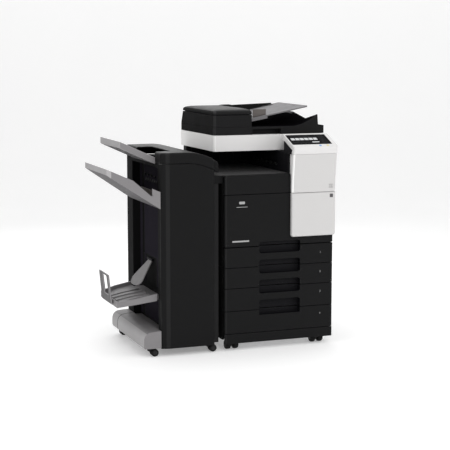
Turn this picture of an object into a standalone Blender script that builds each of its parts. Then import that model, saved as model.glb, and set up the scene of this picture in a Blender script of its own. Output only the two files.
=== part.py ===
# Floor-standing photocopier with four paper drawers, a document feeder and a
# staple/booklet finisher attached on its left.  Metres, +Z up.
# All sizes are given in a working frame: X = 0 at the main unit's front-left
# edge, Y = 0 at the front plane of door and drawers (+Y towards the back),
# Z = 0 on the floor.  ROOT moves that frame so that the origin ends up under
# the centre of the whole machine.
import math
import bpy
import bmesh
from mathutils import Vector

# ------------------------------------------------------------- dimensions
W = 0.585                 # main unit width
BACK = 0.658              # outer face of the rear cover
GAP = 0.0003              # clearance between pieces that touch
OFFSET = (-0.0105, -0.3056, 0.0)       # working frame to machine frame

SEAM = [0.0867, 0.2012, 0.3157, 0.4196, 0.5211]     # plinth, drawers 4..1
HAND = {1: (0.486, 0.544), 2: (0.384, 0.453), 3: (0.283, 0.352), 4: (0.174, 0.250)}
HAND_X = (0.182, 0.404)   # finger recess of every drawer
HAND_D = 0.034            # its depth
FRONT_T = 0.040           # drawer front thickness
FRONT_R = 0.012           # rounding of the vertical front edges
DOOR_T = 0.030            # front door thickness
DOOR_Z = (0.5240, 0.7830)
DECK_Z = 0.880            # exit deck
SCAN_Z = (0.985, 1.0651)  # scanner housing
SCAN_X = (0.0, 0.603)
SCAN_Y = (0.163, 0.658)
COL_X = (0.348, 0.587)    # white column
PANEL_TILT = math.radians(22.05)
FIN_X = (-0.328, -0.053)  # finisher width
FIN_Z0 = 0.039
WHEEL_R = 0.0245          # main casters
FWHEEL_R = 0.019          # finisher casters

for o in list(bpy.data.objects):
    bpy.data.objects.remove(o, do_unlink=True)
scene = bpy.context.scene

ROOT = bpy.data.objects.new("root_frame", None)
ROOT.location = OFFSET
scene.collection.objects.link(ROOT)

MATS = {}
BLACK = ("black_plastic", (0.017, 0.017, 0.018), 0.45, 0.0)
WHITE = ("white_plastic", (0.68, 0.67, 0.67), 0.40, 0.0)
GREY = ("grey_plastic", (0.42, 0.41, 0.42), 0.45, 0.0)
GLASS = ("black_glass", (0.005, 0.005, 0.006), 0.08, 0.0)
STEEL = ("steel", (0.45, 0.45, 0.46), 0.35, 1.0)
RUBBER = ("caster_rubber", (0.02, 0.02, 0.02), 0.6, 0.0)
DRUM = ("drum_coating", (0.02, 0.10, 0.09), 0.2, 0.0)
BLUE = ("key_blue", (0.05, 0.16, 0.60), 0.35, 0.0)
AMBER = ("key_amber", (0.60, 0.45, 0.08), 0.35, 0.0)


def material(node, spec):
    """One Principled material for each object."""
    base, colour, rough, metal = spec
    m = bpy.data.materials.new(node + "_" + base)
    m.use_nodes = True
    b = m.node_tree.nodes["Principled BSDF"]
    b.inputs["Base Color"].default_value = (*colour, 1.0)
    b.inputs["Roughness"].default_value = rough
    b.inputs["Metallic"].default_value = metal
    m.diffuse_color = (*colour, 1.0)
    return m


def link(name, bm, pivot=None):
    bmesh.ops.recalc_face_normals(bm, faces=bm.faces[:])
    me = bpy.data.meshes.new(name)
    bm.to_mesh(me)
    bm.free()
    ob = bpy.data.objects.new(name, me)
    scene.collection.objects.link(ob)
    ob.parent = ROOT
    if pivot is not None:
        for v in me.vertices:
            v.co -= Vector(pivot)
        ob.location = pivot
    return ob


def node(name, bm, spec, pivot=None, smooth=None):
    """A real piece of the machine; its origin sits on its joint's axis."""
    ob = link(name, bm, pivot)
    ob.data.materials.append(material(name, spec))
    if smooth:
        ob.data.shade_smooth()
        ob.data.set_sharp_from_angle(angle=math.radians(smooth))
    return ob


def boolean(ob, bm, operation):
    tool = link("tool_%s_%d" % (ob.name, len(ob.modifiers)), bm)
    tool.hide_render = True
    tool.display_type = 'WIRE'
    m = ob.modifiers.new(operation.lower(), 'BOOLEAN')
    m.operation = operation
    m.object = tool
    m.solver = 'EXACT'
    return ob


def cut(ob, bm):
    return boolean(ob, bm, 'DIFFERENCE')


def join(ob, bm):
    return boolean(ob, bm, 'UNION')


# ------------------------------------------------------------- shape helpers
def loft(loops):
    """Closed body through equal loops of 3D points, with flat caps."""
    bm = bmesh.new()
    rows = [[bm.verts.new(p) for p in loop] for loop in loops]
    n = len(rows[0])
    for a, b in zip(rows, rows[1:]):
        for i in range(n):
            bm.faces.new((a[i], a[(i + 1) % n], b[(i + 1) % n], b[i]))
    bm.faces.new(rows[0])
    bm.faces.new(rows[-1])
    return bm


def prism(points, axis, a, b):
    """Outline swept along an axis. X: (y, z), Y: (x, z), Z: (x, y)."""
    def put(u, v, t):
        return {'X': (t, u, v), 'Y': (u, t, v), 'Z': (u, v, t)}[axis]
    return loft([[put(u, v, a) for u, v in points], [put(u, v, b) for u, v in points]])


def box(x0, x1, y0, y1, z0, z1):
    return prism([(x0, y0), (x1, y0), (x1, y1), (x0, y1)], 'Z', z0, z1)


def rect(u0, u1, v0, v1, radii, seg=3):
    """Rectangle with one radius per corner: (u0v0, u1v0, u1v1, u0v1)."""
    out = []
    corners = [(u0, v0, 1, 1, 180), (u1, v0, -1, 1, 270), (u1, v1, -1, -1, 0), (u0, v1, 1, -1, 90)]
    for (u, v, su, sv, start), r in zip(corners, radii):
        if r <= 0:
            out.append((u, v))
            continue
        cu, cv = u + su * r, v + sv * r
        for i in range(seg + 1):
            t = math.radians(start + 90.0 * i / seg)
            out.append((cu + r * math.cos(t), cv + r * math.sin(t)))
    return out


def turned(profile, centre, axis, seg=16):
    """Body of revolution from (position along the axis, radius) points."""
    loops = []
    for t, r in profile:
        ring = []
        for i in range(seg):
            a = 2 * math.pi * i / seg
            c, s = r * math.cos(a), r * math.sin(a)
            if axis == 'X':
                ring.append((centre[0] + t, centre[1] + c, centre[2] + s))
            elif axis == 'Y':
                ring.append((centre[0] + c, centre[1] + t, centre[2] + s))
            else:
                ring.append((centre[0] + c, centre[1] + s, centre[2] + t))
        loops.append(ring)
    return loft(loops)


def bin_shape(x0, x1, y0, y1, z0, z1, wall, floor):
    """Open-topped tray of sheet: four walls and a floor in one closed body."""
    bm = bmesh.new()
    def ring(d, z):
        return [bm.verts.new(p) for p in ((x0 + d, y0 + d, z), (x1 - d, y0 + d, z),
                                          (x1 - d, y1 - d, z), (x0 + d, y1 - d, z))]
    rows = [ring(0, z0), ring(0, z1), ring(wall, z1), ring(wall, z0 + floor)]
    for a, b in zip(rows, rows[1:]):
        for i in range(4):
            bm.faces.new((a[i], a[(i + 1) % 4], b[(i + 1) % 4], b[i]))
    bm.faces.new(rows[0])
    bm.faces.new(rows[-1])
    return bm


def front_plan(y1, r=FRONT_R):
    return rect(0.0, W, 0.0, y1, (r, r, 0, 0), 3)


# ------------------------------------------------------------- main unit: frame and covers
base = node("base_frame", box(0.0125, 0.5725, 0.0130, 0.6455, 0.0600, 0.0855), STEEL)
for cx in (0.0530, 0.5170):
    # fixed rear caster bracket with its axle hole
    join(base, prism([(0.575, 0.0610), (0.583, 0.0160), (0.617, 0.0160), (0.625, 0.0610)], 'X',
                     cx - 0.0055, cx + 0.0055))
    cut(base, turned([(-0.02, 0.0066), (0.02, 0.0066)], (cx, 0.600, WHEEL_R), 'X', 12))

node("plinth_front", prism(front_plan(0.0125, 0.010), 'Z', 0.0370, SEAM[0] - 0.001), BLACK)
node("left_side_cover", box(0.0010, 0.0120, 0.0450, 0.6460, 0.0520, 0.8375), BLACK)
node("right_side_cover", box(0.5730, 0.5840, 0.0450, 0.6460, 0.0520, 0.4970), BLACK)
rear = node("rear_cover", box(0.0010, 0.5840, 0.6463, BACK, 0.0370, 0.8795), BLACK)
# power inlet recess, low on the left of the back
cut(rear, box(0.480, 0.508, 0.6500, 0.70, 0.120, 0.142))
node("engine_shelf", box(0.0125, 0.5725, 0.0450, 0.6455, 0.5245, 0.5320), STEEL)

node("upper_front_cover",
     prism(rect(0.0, COL_X[0] - 0.0015, 0.0, 0.030, (FRONT_R, 0, 0, 0)), 'Z', 0.7850, 0.8790), BLACK)

# white column: leans forward towards the panel
def column_loop(z, front, back=0.030, r=0.013):
    return [(x, y, z) for x, y in rect(COL_X[0], COL_X[1], front, back, (r, r, 0, 0), 3)]

node("column_cover", loft([column_loop(0.7850, -0.0200), column_loop(0.8300, -0.0225),
                           column_loop(0.9000, -0.0300), column_loop(0.9765, -0.0380)]), WHITE)

# neck under the scanner: back wall and right tower, with the panel bracket on it
neck = node("scanner_support",
            prism([(0.0020, 0.6000), (0.3465, 0.6000), (0.3465, 0.0305), (0.5830, 0.0305),
                   (0.5830, 0.6455), (0.0020, 0.6455)], 'Z', 0.8803, 0.9845), BLACK)
join(neck, prism([(-0.018, 0.9770), (0.075, 0.9770), (0.075, 1.0375), (-0.018, 0.9975)], 'X', 0.3420, 0.5830))

relay = node("relay_unit", box(0.0005, 0.3460, 0.0305, 0.5995, 0.8380, 0.8798), BLACK)
join(relay, box(-0.0547, 0.0100, 0.0305, 0.5975, 0.8400, 0.8798))

# ------------------------------------------------------------- scanner
scanner = node("scanner_housing", prism(rect(*SCAN_X, *SCAN_Y, (0.018,) * 4, 4), 'Z', *SCAN_Z), WHITE)
cut(scanner, box(0.040, 0.500, 0.200, 0.610, 1.0080, 1.10))
node("platen_glass", box(0.0405, 0.4995, 0.2005, 0.6095, 1.0600, 1.0640), GLASS)
node("scan_carriage", prism([(0.050, 1.0110), (0.090, 1.0110), (0.090, 1.0300), (0.078, 1.0450),
                             (0.062, 1.0450), (0.050, 1.0300)], 'Y', 0.2050, 0.6050),
     STEEL, pivot=(0.070, 0.405, 1.030))

# ------------------------------------------------------------- engine, behind the front door
node("photoconductor_drum", turned([(0.0, 0.006), (0.02, 0.006), (0.0201, 0.030), (0.470, 0.030),
                                    (0.4701, 0.006), (0.490, 0.006)], (0.400, 0.080, 0.620), 'Y', 20),
     DRUM, pivot=(0.400, 0.325, 0.620), smooth=40)
node("toner_bottle", turned([(0.0, 0.034), (0.004, 0.045), (0.33, 0.045), (0.36, 0.030), (0.40, 0.016),
                             (0.43, 0.016)], (0.150, 0.070, 0.700), 'Y', 20),
     BLACK, pivot=(0.150, 0.285, 0.700), smooth=40)
fuser = node("fuser_unit", prism(rect(0.470, 0.560, 0.660, 0.765, (0.01,) * 4, 2), 'Y', 0.080, 0.600), STEEL)

# ------------------------------------------------------------- front door
DOOR_PIVOT = (0.2925, 0.009, 0.535)
door = node("front_door", prism(front_plan(DOOR_T), 'Z', *DOOR_Z), BLACK, pivot=DOOR_PIVOT)
cut(door, prism(rect(*HAND_X, 0.50, HAND[1][1], (0, 0, 0.012, 0.012)), 'Y', -0.02, 0.024))
node("front_door_panel",
     prism(rect(COL_X[0], COL_X[1], -0.0200, -GAP, (0.013, 0.013, 0, 0), 3), 'Z', 0.5625, DOOR_Z[1]),
     WHITE, pivot=DOOR_PIVOT)

# ------------------------------------------------------------- control panel
ct, st = math.cos(PANEL_TILT), math.sin(PANEL_TILT)
PANEL_TOP = (-0.045, 1.0143)              # front edge of the top surface, extended
PANEL_LEN = 0.1510
PANEL_T = 0.0220
PANEL_X = (0.336, 0.587)
PANEL_PIVOT = (0.4615, 0.0850, 1.0460)


def on_panel(u, h):
    """u along the slope from the front edge, h above the top surface."""
    return (PANEL_TOP[0] + u * ct - h * st, PANEL_TOP[1] + u * st + h * ct)


outline = [on_panel(PANEL_LEN, -PANEL_T), on_panel(PANEL_LEN, -0.004), on_panel(PANEL_LEN - 0.0012, -0.0012),
           on_panel(PANEL_LEN - 0.004, 0.0), on_panel(0.0045, 0.0), on_panel(0.0008, -0.0016),
           (-0.0468, 1.0060), (-0.0455, 0.9950), (-0.0400, 0.9790), (-0.0300, 0.9790),
           (-0.0300, 0.9966)]                       # front lip reaches down to the column
panel = node("control_panel", prism(outline, 'X', *PANEL_X), WHITE, pivot=PANEL_PIVOT)
cut(panel, prism([on_panel(u, h) for u, h in ((0.0262, -0.0025), (0.1358, -0.0025), (0.1358, 0.02), (0.0262, 0.02))],
                 'X', 0.3485, 0.5575))
node("touch_screen",
     prism([on_panel(u, h) for u, h in ((0.0266, -0.0022), (0.1354, -0.0022), (0.1354, 0.0003), (0.0266, 0.0003))],
           'X', 0.3489, 0.5571), GLASS, pivot=PANEL_PIVOT)


def key(name, x, spec):
    # round key in a blind bore of the panel; it stands 1.6 mm proud
    u = 0.0118
    def ring(r, h, n=12):
        out = []
        for i in range(n):
            a = 2 * math.pi * i / n
            y, z = on_panel(u + r * math.sin(a), h)
            out.append((x + r * math.cos(a), y, z))
        return out
    cut(panel, loft([ring(0.0068, -0.0070), ring(0.0068, 0.01)]))
    y, z = on_panel(u, -0.002)
    node(name, loft([ring(0.0062, -0.0040), ring(0.0062, 0.0008), ring(0.0052, 0.0016)]), spec, pivot=(x, y, z))


key("start_key", 0.4937, BLUE)
key("stop_key", 0.5340, AMBER)

# ------------------------------------------------------------- drawers
for k in (1, 2, 3, 4):
    z0 = SEAM[4 - k] + 0.001
    z1 = SEAM[5 - k] - 0.0010
    front = node("drawer_%d_front" % k, prism(front_plan(FRONT_T), 'Z', z0, z1), BLACK,
                 pivot=(W / 2, 0.3, z0))
    r = 0.004 if k == 4 else 0.012
    cut(front, prism(rect(*HAND_X, HAND[k][0], z1 + 0.03, (r, r, 0, 0)), 'Y', -0.02, HAND_D))
    if k < 4:
        cut(front, prism(rect(*HAND_X, z0 - 0.03, HAND[k + 1][1], (0, 0, 0.012, 0.012)), 'Y', -0.02, HAND_D))
    node("drawer_%d_tray" % k, bin_shape(0.022, 0.563, FRONT_T + GAP, 0.600, z0 + 0.008, z1 - 0.014, 0.004, 0.004),
         GREY, pivot=(W / 2, 0.3, z0))

# ------------------------------------------------------------- right side: jam door and bypass tray
RD_PIVOT = (0.600, 0.6455, 0.686)
rdoor = node("right_door", prism(rect(0.5735, 0.600, 0.050, 0.6455, (0, 0.010, 0.004, 0), 3), 'Z', 0.5000, 0.8720),
             BLACK, pivot=RD_PIVOT)
cut(rdoor, box(0.5840, 0.62, 0.1300, 0.5000, 0.5960, 0.8010))
node("bypass_tray", box(0.5875, 0.5995, 0.1305, 0.4995, 0.6005, 0.8000), BLACK, pivot=(0.594, 0.315, 0.607))

# ------------------------------------------------------------- document feeder
ADF_X = (0.0010, 0.603)
ADF_Y = (0.1655, 0.6550)
ADF_PIVOT = (0.300, 0.6585, 1.0655)
SPLIT_X = 0.2045          # feed unit on the left, trays on the right


def exit_height(x, y):
    """Exit tray surface: flat, then rising into the end wall with a hand dip."""
    wall = [(0.1655, 1.1620), (0.3110, 1.1330), (0.4770, 1.1600), (0.6550, 1.1620)]
    for (ya, za), (yb, zb) in zip(wall, wall[1:]):
        if y <= yb + 1e-9:
            top = za + (zb - za) * (y - ya) / (yb - ya)
            break
    t = min(max((x - 0.420) / (0.560 - 0.420), 0.0), 1.0)
    return 1.1050 + (top - 1.1050) * t * t


bm = bmesh.new()
xs = [ADF_X[0], 0.2045, 0.420, 0.455, 0.490, 0.525, 0.560, 0.566, 0.570, 0.603]
ys = [0.1655, 0.240, 0.3110, 0.390, 0.4770, 0.565, 0.6550]
tops, bots = [], []
for x in xs:
    row_t, row_b = [], []
    for y in ys:
        if x <= 0.2045:
            z = 1.1050
        elif x <= 0.560:
            z = exit_height(x, y)
        elif x == 0.566:
            z = exit_height(0.560, y) - 0.001
        elif x == 0.570:
            z = 1.1065
        else:
            z = 1.1050
        row_t.append(bm.verts.new((x, y, z)))
        row_b.append(bm.verts.new((x, y, 1.0662)))
    tops.append(row_t)
    bots.append(row_b)
nx, ny = len(xs), len(ys)
for i in range(nx - 1):
    for j in range(ny - 1):
        bm.faces.new((tops[i][j], tops[i + 1][j], tops[i + 1][j + 1], tops[i][j + 1]))
        bm.faces.new((bots[i][j], bots[i][j + 1], bots[i + 1][j + 1], bots[i + 1][j]))
    bm.faces.new((tops[i][0], bots[i][0], bots[i + 1][0], tops[i + 1][0]))
    bm.faces.new((tops[i][-1], tops[i + 1][-1], bots[i + 1][-1], bots[i][-1]))
for j in range(ny - 1):
    bm.faces.new((tops[0][j], tops[0][j + 1], bots[0][j + 1], bots[0][j]))
    bm.faces.new((tops[-1][j], bots[-1][j], bots[-1][j + 1], tops[-1][j + 1]))
adf = node("adf_base", bm, BLACK, pivot=ADF_PIVOT)
# lifting grip, open to the front and below
cut(adf, box(0.208, 0.364, 0.10, 0.205, 1.00, 1.0935))

body = node("adf_feed_body",
            prism(rect(ADF_X[0], SPLIT_X, *ADF_Y, (0.018, 0, 0, 0.018), 4), 'Z', 1.1053, 1.1660),
            BLACK, pivot=ADF_PIVOT)
cut(body, box(0.090, 0.180, 0.220, 0.600, 1.1300, 1.20))
# sheet entry slot from the input tray into the roller bay
cut(body, box(0.150, 0.25, 0.230, 0.590, 1.1480, 1.1580))

FC_PIVOT = (0.0010, 0.410, 1.1665)


def cover_loop(inset_y, inset_x0, inset_x1, z, r=0.018):
    return [(x, y, z) for x, y in rect(ADF_X[0] + inset_x0, SPLIT_X - inset_x1, ADF_Y[0] + inset_y,
                                       ADF_Y[1] - inset_y, (r, 0.002, 0.002, r), 4)]


node("adf_feed_cover", loft([cover_loop(0, 0, 0, 1.1672), cover_loop(0, 0, 0, 1.1770),
                             cover_loop(0.004, 0.004, 0.002, 1.1840), cover_loop(0.016, 0.014, 0.006, 1.1910),
                             cover_loop(0.060, 0.050, 0.020, 1.1955, 0.010)]), BLACK, pivot=FC_PIVOT)

roller = [(0.0, 0.004), (0.06, 0.004), (0.0601, 0.011), (0.10, 0.011), (0.1001, 0.004), (0.16, 0.004),
          (0.1601, 0.011), (0.20, 0.011), (0.2001, 0.004), (0.26, 0.004), (0.2601, 0.011), (0.30, 0.011),
          (0.3001, 0.004), (0.36, 0.004)]
node("adf_feed_roller", turned(roller, (0.135, 0.230, 1.1500), 'Y', 12), RUBBER,
     pivot=(0.135, 0.410, 1.150), smooth=40)

IT_PIVOT = (0.2100, 0.400, 1.1460)
IT_Y = (0.200, 0.600)
TRAY_TOP = ((0.2085, 1.1450), (0.5300, 1.2055))


def tray_z(x):
    (xa, za), (xb, zb) = TRAY_TOP
    return za + (zb - za) * (x - xa) / (xb - xa)


node("adf_input_tray", prism([(0.2085, 1.1280), (0.3030, 1.1450), (0.3030, 1.1560), (0.5270, 1.1985),
                              (0.5300, 1.2010), TRAY_TOP[1], TRAY_TOP[0]], 'Y', *IT_Y), GREY, pivot=IT_PIVOT)


def guide(name, x0, x1, top0, top1, y, side, spec):
    """Upright guide with a foot lying on the tray; side points to the paper."""
    def loop(x, top):
        z = tray_z(x) + 0.0004
        return [(x, y, z), (x, y + side * 0.030, z), (x, y + side * 0.030, z + 0.002),
                (x, y + side * 0.004, z + 0.002), (x, y + side * 0.004, top), (x, y, top)]
    node(name, loft([loop(x0, top0), loop(x1, top1)]), spec,
         pivot=((x0 + x1) / 2, y, tray_z((x0 + x1) / 2)))


guide("adf_guide_front", 0.230, 0.301, 1.1900, 1.1905, 0.215, 1, GREY)
guide("adf_guide_rear", 0.238, 0.480, 1.1960, 1.2040, 0.585, -1, BLACK)

# ------------------------------------------------------------- casters


def twin_wheel(r, centre, axis, half_in, half_out, axle, seg=16):
    e = 0.0035
    prof = [(-half_out, r - 2 * e), (-half_out + e, r), (-half_in - e, r), (-half_in, r - e),
            (-half_in + 0.0001, axle), (half_in - 0.0001, axle),
            (half_in, r - e), (half_in + e, r), (half_out - e, r), (half_out, r - 2 * e)]
    return turned(prof, centre, axis, seg)


for side, cx in (("left", 0.0530), ("right", 0.5170)):
    fork = node("caster_fork_" + side,
                prism([(0.048, 0.0160), (0.068, 0.0160), (0.088, 0.0400), (0.088, 0.0540), (0.050, 0.0540),
                       (0.048, 0.0400)], 'X', cx - 0.0055, cx + 0.0055), BLACK, pivot=(cx, 0.070, 0.0520))
    join(fork, turned([(0.0, 0.020), (0.0080, 0.024)], (cx, 0.070, 0.0515), 'Z', 16))
    cut(fork, turned([(-0.02, 0.0066), (0.02, 0.0066)], (cx, 0.058, WHEEL_R), 'X', 12))
    node("caster_wheel_front_" + side, twin_wheel(WHEEL_R, (cx, 0.058, WHEEL_R), 'X', 0.0070, 0.0330, 0.0060),
         RUBBER, pivot=(cx, 0.058, WHEEL_R), smooth=40)
    node("caster_wheel_rear_" + side, twin_wheel(WHEEL_R, (cx, 0.600, WHEEL_R), 'X', 0.0070, 0.0330, 0.0060),
         RUBBER, pivot=(cx, 0.600, WHEEL_R), smooth=40)

# ------------------------------------------------------------- finisher
def bow(x, z):
    """Top edge line of the finisher: level, then falling to the right."""
    return z - 1.76 * max(0.0, x + 0.20) ** 2


def bow_line(z, x0, x1):
    xs_ = [x0, -0.200, -0.170, -0.140, -0.110, -0.080, x1]
    return [(x, bow(x, z)) for x in xs_]


FSEAM = 0.947
frame = node("finisher_frame",
             prism([(-0.326, 0.0430), (-0.0555, 0.0430)] + bow_line(FSEAM - 0.0015, -0.326, -0.0555)[::-1],
                   'Y', 0.024, 0.598), BLACK)
cut(frame, box(-0.270, -0.075, 0.010, 0.570, 0.120, 0.840))            # bay behind the door
cut(frame, box(-0.350, -0.285, 0.062, 0.498, 0.030, 0.925))            # open left side
cut(frame, box(-0.200, -0.050, 0.1595, 0.5005, 0.8425, 0.8755))        # sheet entry from the relay unit
join(frame, box(-0.0560, -0.0240, 0.0300, 0.5900, 0.0450, 0.8395))             # side pack facing the main unit
join(frame, prism([(-0.108, 0.0440), (-0.100, 0.0130), (-0.070, 0.0130), (-0.062, 0.0440)], 'Y', 0.5450, 0.5550))
cut(frame, turned([(-0.03, 0.0052), (0.03, 0.0052)], (-0.085, 0.550, FWHEEL_R), 'Y', 12))

bm = prism([(FIN_X[0], FIN_Z0), (FIN_X[1], FIN_Z0)] + bow_line(FSEAM - 0.008, *FIN_X)[::-1], 'Y', 0.0, 0.020)
bmesh.ops.bevel(bm, geom=[e for e in bm.edges if all(abs(v.co.x - FIN_X[0]) < 1e-5 and v.co.y < 1e-5 for v in e.verts)],
                offset=0.014, segments=4, affect='EDGES', profile=0.5)
node("finisher_front_door", bm, BLACK, pivot=(-0.320, 0.007, 0.49))

LID_T = 0.993
bm = prism(bow_line(FSEAM + 0.001, *FIN_X) + bow_line(LID_T + 0.008, *FIN_X)[::-1], 'Y', 0.0, 0.600)
top_edges = [e for e in bm.edges if all(v.co.y < 1e-5 and v.co.z > bow(v.co.x, 0.99) for v in e.verts)]
bmesh.ops.bevel(bm, geom=top_edges, offset=0.008, segments=3, affect='EDGES', profile=0.5)
lid = node("finisher_top_cover", bm, BLACK, pivot=(-0.190, 0.6005, 0.9500))
cut(lid, prism(bow_line(FSEAM - 0.02, FIN_X[0] + 0.004, FIN_X[1] - 0.004) +
               bow_line(LID_T + 0.004, FIN_X[0] + 0.004, FIN_X[1] - 0.004)[::-1], 'Y', 0.006, 0.594))
cut(lid, box(-0.340, -0.245, 0.100, 0.415, 0.90, 1.05))               # mouth of the upper tray

node("upper_output_tray", prism([(-0.3285, 0.9410), (-0.3285, 0.9730), (-0.5050, 1.0540), (-0.5050, 1.0210)],
                                'Y', 0.090, 0.460), GREY)


def slab(x0, x1, a, b):
    """Six-sided body: (y0, y1, z0, z1) at x0 and at x1."""
    def loop(x, s):
        return [(x, s[0], s[2]), (x, s[1], s[2]), (x, s[1], s[3]), (x, s[0], s[3])]
    return loft([loop(x0, a), loop(x1, b)])


MT_PIVOT = (-0.3285, 0.280, 0.780)
mtray = node("main_output_tray", slab(-0.3285, -0.5820, (0.010, 0.545, 0.7290, 0.8125), (0.060, 0.475, 0.8970, 0.9260)),
             GREY, pivot=MT_PIVOT)
cut(mtray, slab(-0.3200, -0.5760, (0.022, 0.533, 0.7560, 0.9000), (0.072, 0.463, 0.9070, 1.0000)))
for ya in (0.115, 0.425):
    join(mtray, box(-0.3400, -0.2865, ya, ya + 0.020, 0.7420, 0.7520))

btray = node("booklet_tray", loft([
    [(-0.3335, 0.060, 0.2700), (-0.3335, 0.520, 0.2620), (-0.3335, 0.520, 0.2900), (-0.3335, 0.060, 0.3050)],
    [(-0.4300, 0.075, 0.2550), (-0.4300, 0.490, 0.2530), (-0.4300, 0.490, 0.2790), (-0.4300, 0.075, 0.2840)],
    [(-0.5200, 0.120, 0.2350), (-0.5200, 0.430, 0.2370), (-0.5200, 0.430, 0.2680), (-0.5200, 0.120, 0.2630)]]), GREY)
cut(btray, loft([
    [(-0.3200, 0.066, 0.2800), (-0.3200, 0.514, 0.2740), (-0.3200, 0.514, 0.3600), (-0.3200, 0.066, 0.3600)],
    [(-0.4300, 0.083, 0.2640), (-0.4300, 0.482, 0.2620), (-0.4300, 0.482, 0.3400), (-0.4300, 0.083, 0.3400)],
    [(-0.5140, 0.128, 0.2450), (-0.5140, 0.422, 0.2460), (-0.5140, 0.422, 0.3200), (-0.5140, 0.128, 0.3200)]]))
join(btray, box(-0.3400, -0.2855, 0.100, 0.460, 0.2690, 0.2760))

BS_PIVOT = (-0.5262, 0.278, 0.2440)
stop = node("booklet_stopper", loft([
    [(-0.5297, 0.190, 0.2400), (-0.5297, 0.370, 0.2400), (-0.5465, 0.362, 0.3900), (-0.5465, 0.190, 0.3900)],
    [(-0.5232, 0.190, 0.2400), (-0.5232, 0.370, 0.2400), (-0.5400, 0.362, 0.3900), (-0.5400, 0.190, 0.3900)]]), GREY)
stop.location = BS_PIVOT
for v in stop.data.vertices:
    v.co -= Vector(BS_PIVOT)
cut(stop, prism([(0.232, 0.306), (0.296, 0.306), (0.296, 0.380), (0.232, 0.380)], 'X', -0.60, -0.50))

BF_PIVOT = (-0.2925, 0.300, 0.4300)
flap_top, flap_bot = Vector((-0.2925, 0.4300)), Vector((-0.3830, 0.3120))
d = (flap_bot - flap_top).normalized()
nrm = Vector((d.y, -d.x))
length = (flap_bot - flap_top).length


def flap_loop(h):
    pts = [(0.278, -0.002), (0.332, -0.002), (0.340, 0.020), (0.380, length - 0.045), (0.376, length - 0.026),
           (0.362, length - 0.010), (0.340, length - 0.002), (0.310, length), (0.275, length - 0.002),
           (0.245, length - 0.008), (0.228, length - 0.022), (0.226, length - 0.040), (0.268, 0.020)]
    out = []
    for y, t in pts:
        p = flap_top + d * t + nrm * h
        out.append((p.x, y, p.y))
    return out


node("booklet_flap", loft([flap_loop(-0.0035), flap_loop(0.0035)]), GREY, pivot=BF_PIVOT)

foot = node("finisher_foot",
            prism([(-0.4120, 0.0430), (-0.3285, 0.0430), (-0.3285, 0.1280), (-0.3850, 0.1245), (-0.4000, 0.1190),
                   (-0.4110, 0.1080), (-0.4165, 0.0950), (-0.4180, 0.0800), (-0.4180, 0.0500)], 'Y', 0.010, 0.590), GREY)
join(foot, box(-0.3400, -0.2855, 0.0650, 0.4950, 0.0500, 0.1200))
join(foot, prism([(-0.393, 0.0440), (-0.385, 0.0130), (-0.355, 0.0130), (-0.347, 0.0440)], 'Y', 0.5450, 0.5550))
cut(foot, turned([(-0.03, 0.0052), (0.03, 0.0052)], (-0.370, 0.550, FWHEEL_R), 'Y', 12))

for side, sx in (("left", -0.3820), ("right", -0.0800)):
    wx = sx + 0.025
    fork = node("finisher_caster_fork_" + side,
                prism([(wx - 0.008, 0.0120), (wx + 0.008, 0.0120), (wx + 0.008, 0.0300), (sx + 0.010, 0.0400),
                       (sx - 0.010, 0.0400), (sx - 0.010, 0.0300)], 'Y', 0.0350, 0.0450), BLACK,
                pivot=(sx, 0.040, 0.040))
    join(fork, turned([(0.0, 0.013), (0.0040, 0.015)], (sx, 0.040, 0.0386), 'Z', 14))
    cut(fork, turned([(-0.03, 0.0052), (0.03, 0.0052)], (wx, 0.040, FWHEEL_R), 'Y', 12))
    node("finisher_wheel_front_" + side, twin_wheel(FWHEEL_R, (wx, 0.040, FWHEEL_R), 'Y', 0.0062, 0.0200, 0.0046),
         RUBBER, pivot=(wx, 0.040, FWHEEL_R), smooth=40)
    rx = -0.370 if side == "left" else -0.085
    node("finisher_wheel_rear_" + side, twin_wheel(FWHEEL_R, (rx, 0.550, FWHEEL_R), 'Y', 0.0062, 0.0200, 0.0046),
         RUBBER, pivot=(rx, 0.550, FWHEEL_R), smooth=40)
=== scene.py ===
# Looks of the floor-standing photocopier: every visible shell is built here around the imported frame.
import math
import bpy
import bmesh
from mathutils import Vector, Matrix


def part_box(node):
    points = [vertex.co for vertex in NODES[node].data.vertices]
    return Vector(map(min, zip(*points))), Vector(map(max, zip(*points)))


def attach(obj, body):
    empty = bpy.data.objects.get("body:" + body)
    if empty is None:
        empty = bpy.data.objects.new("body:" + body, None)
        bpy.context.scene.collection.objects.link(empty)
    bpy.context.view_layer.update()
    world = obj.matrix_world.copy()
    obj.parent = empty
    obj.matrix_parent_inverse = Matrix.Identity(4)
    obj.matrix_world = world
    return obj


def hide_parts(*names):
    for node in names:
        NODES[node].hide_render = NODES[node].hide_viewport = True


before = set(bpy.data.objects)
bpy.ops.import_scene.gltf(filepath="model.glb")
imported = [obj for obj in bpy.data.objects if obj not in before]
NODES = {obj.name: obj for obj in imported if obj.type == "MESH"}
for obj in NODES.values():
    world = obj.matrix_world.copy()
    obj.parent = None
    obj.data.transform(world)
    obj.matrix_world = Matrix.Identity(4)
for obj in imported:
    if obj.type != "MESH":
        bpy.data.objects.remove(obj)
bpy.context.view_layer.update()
_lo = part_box("drawer_1_front")[0]
OX, OY = _lo.x, _lo.y           # working frame: X=0 left front edge, Y=0 front plane of the main unit
SHIFT = Vector((OX, OY, 0.0))
scene = bpy.context.scene
scene.view_settings.view_transform = 'Standard'
scene.view_settings.look = 'None'

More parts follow.
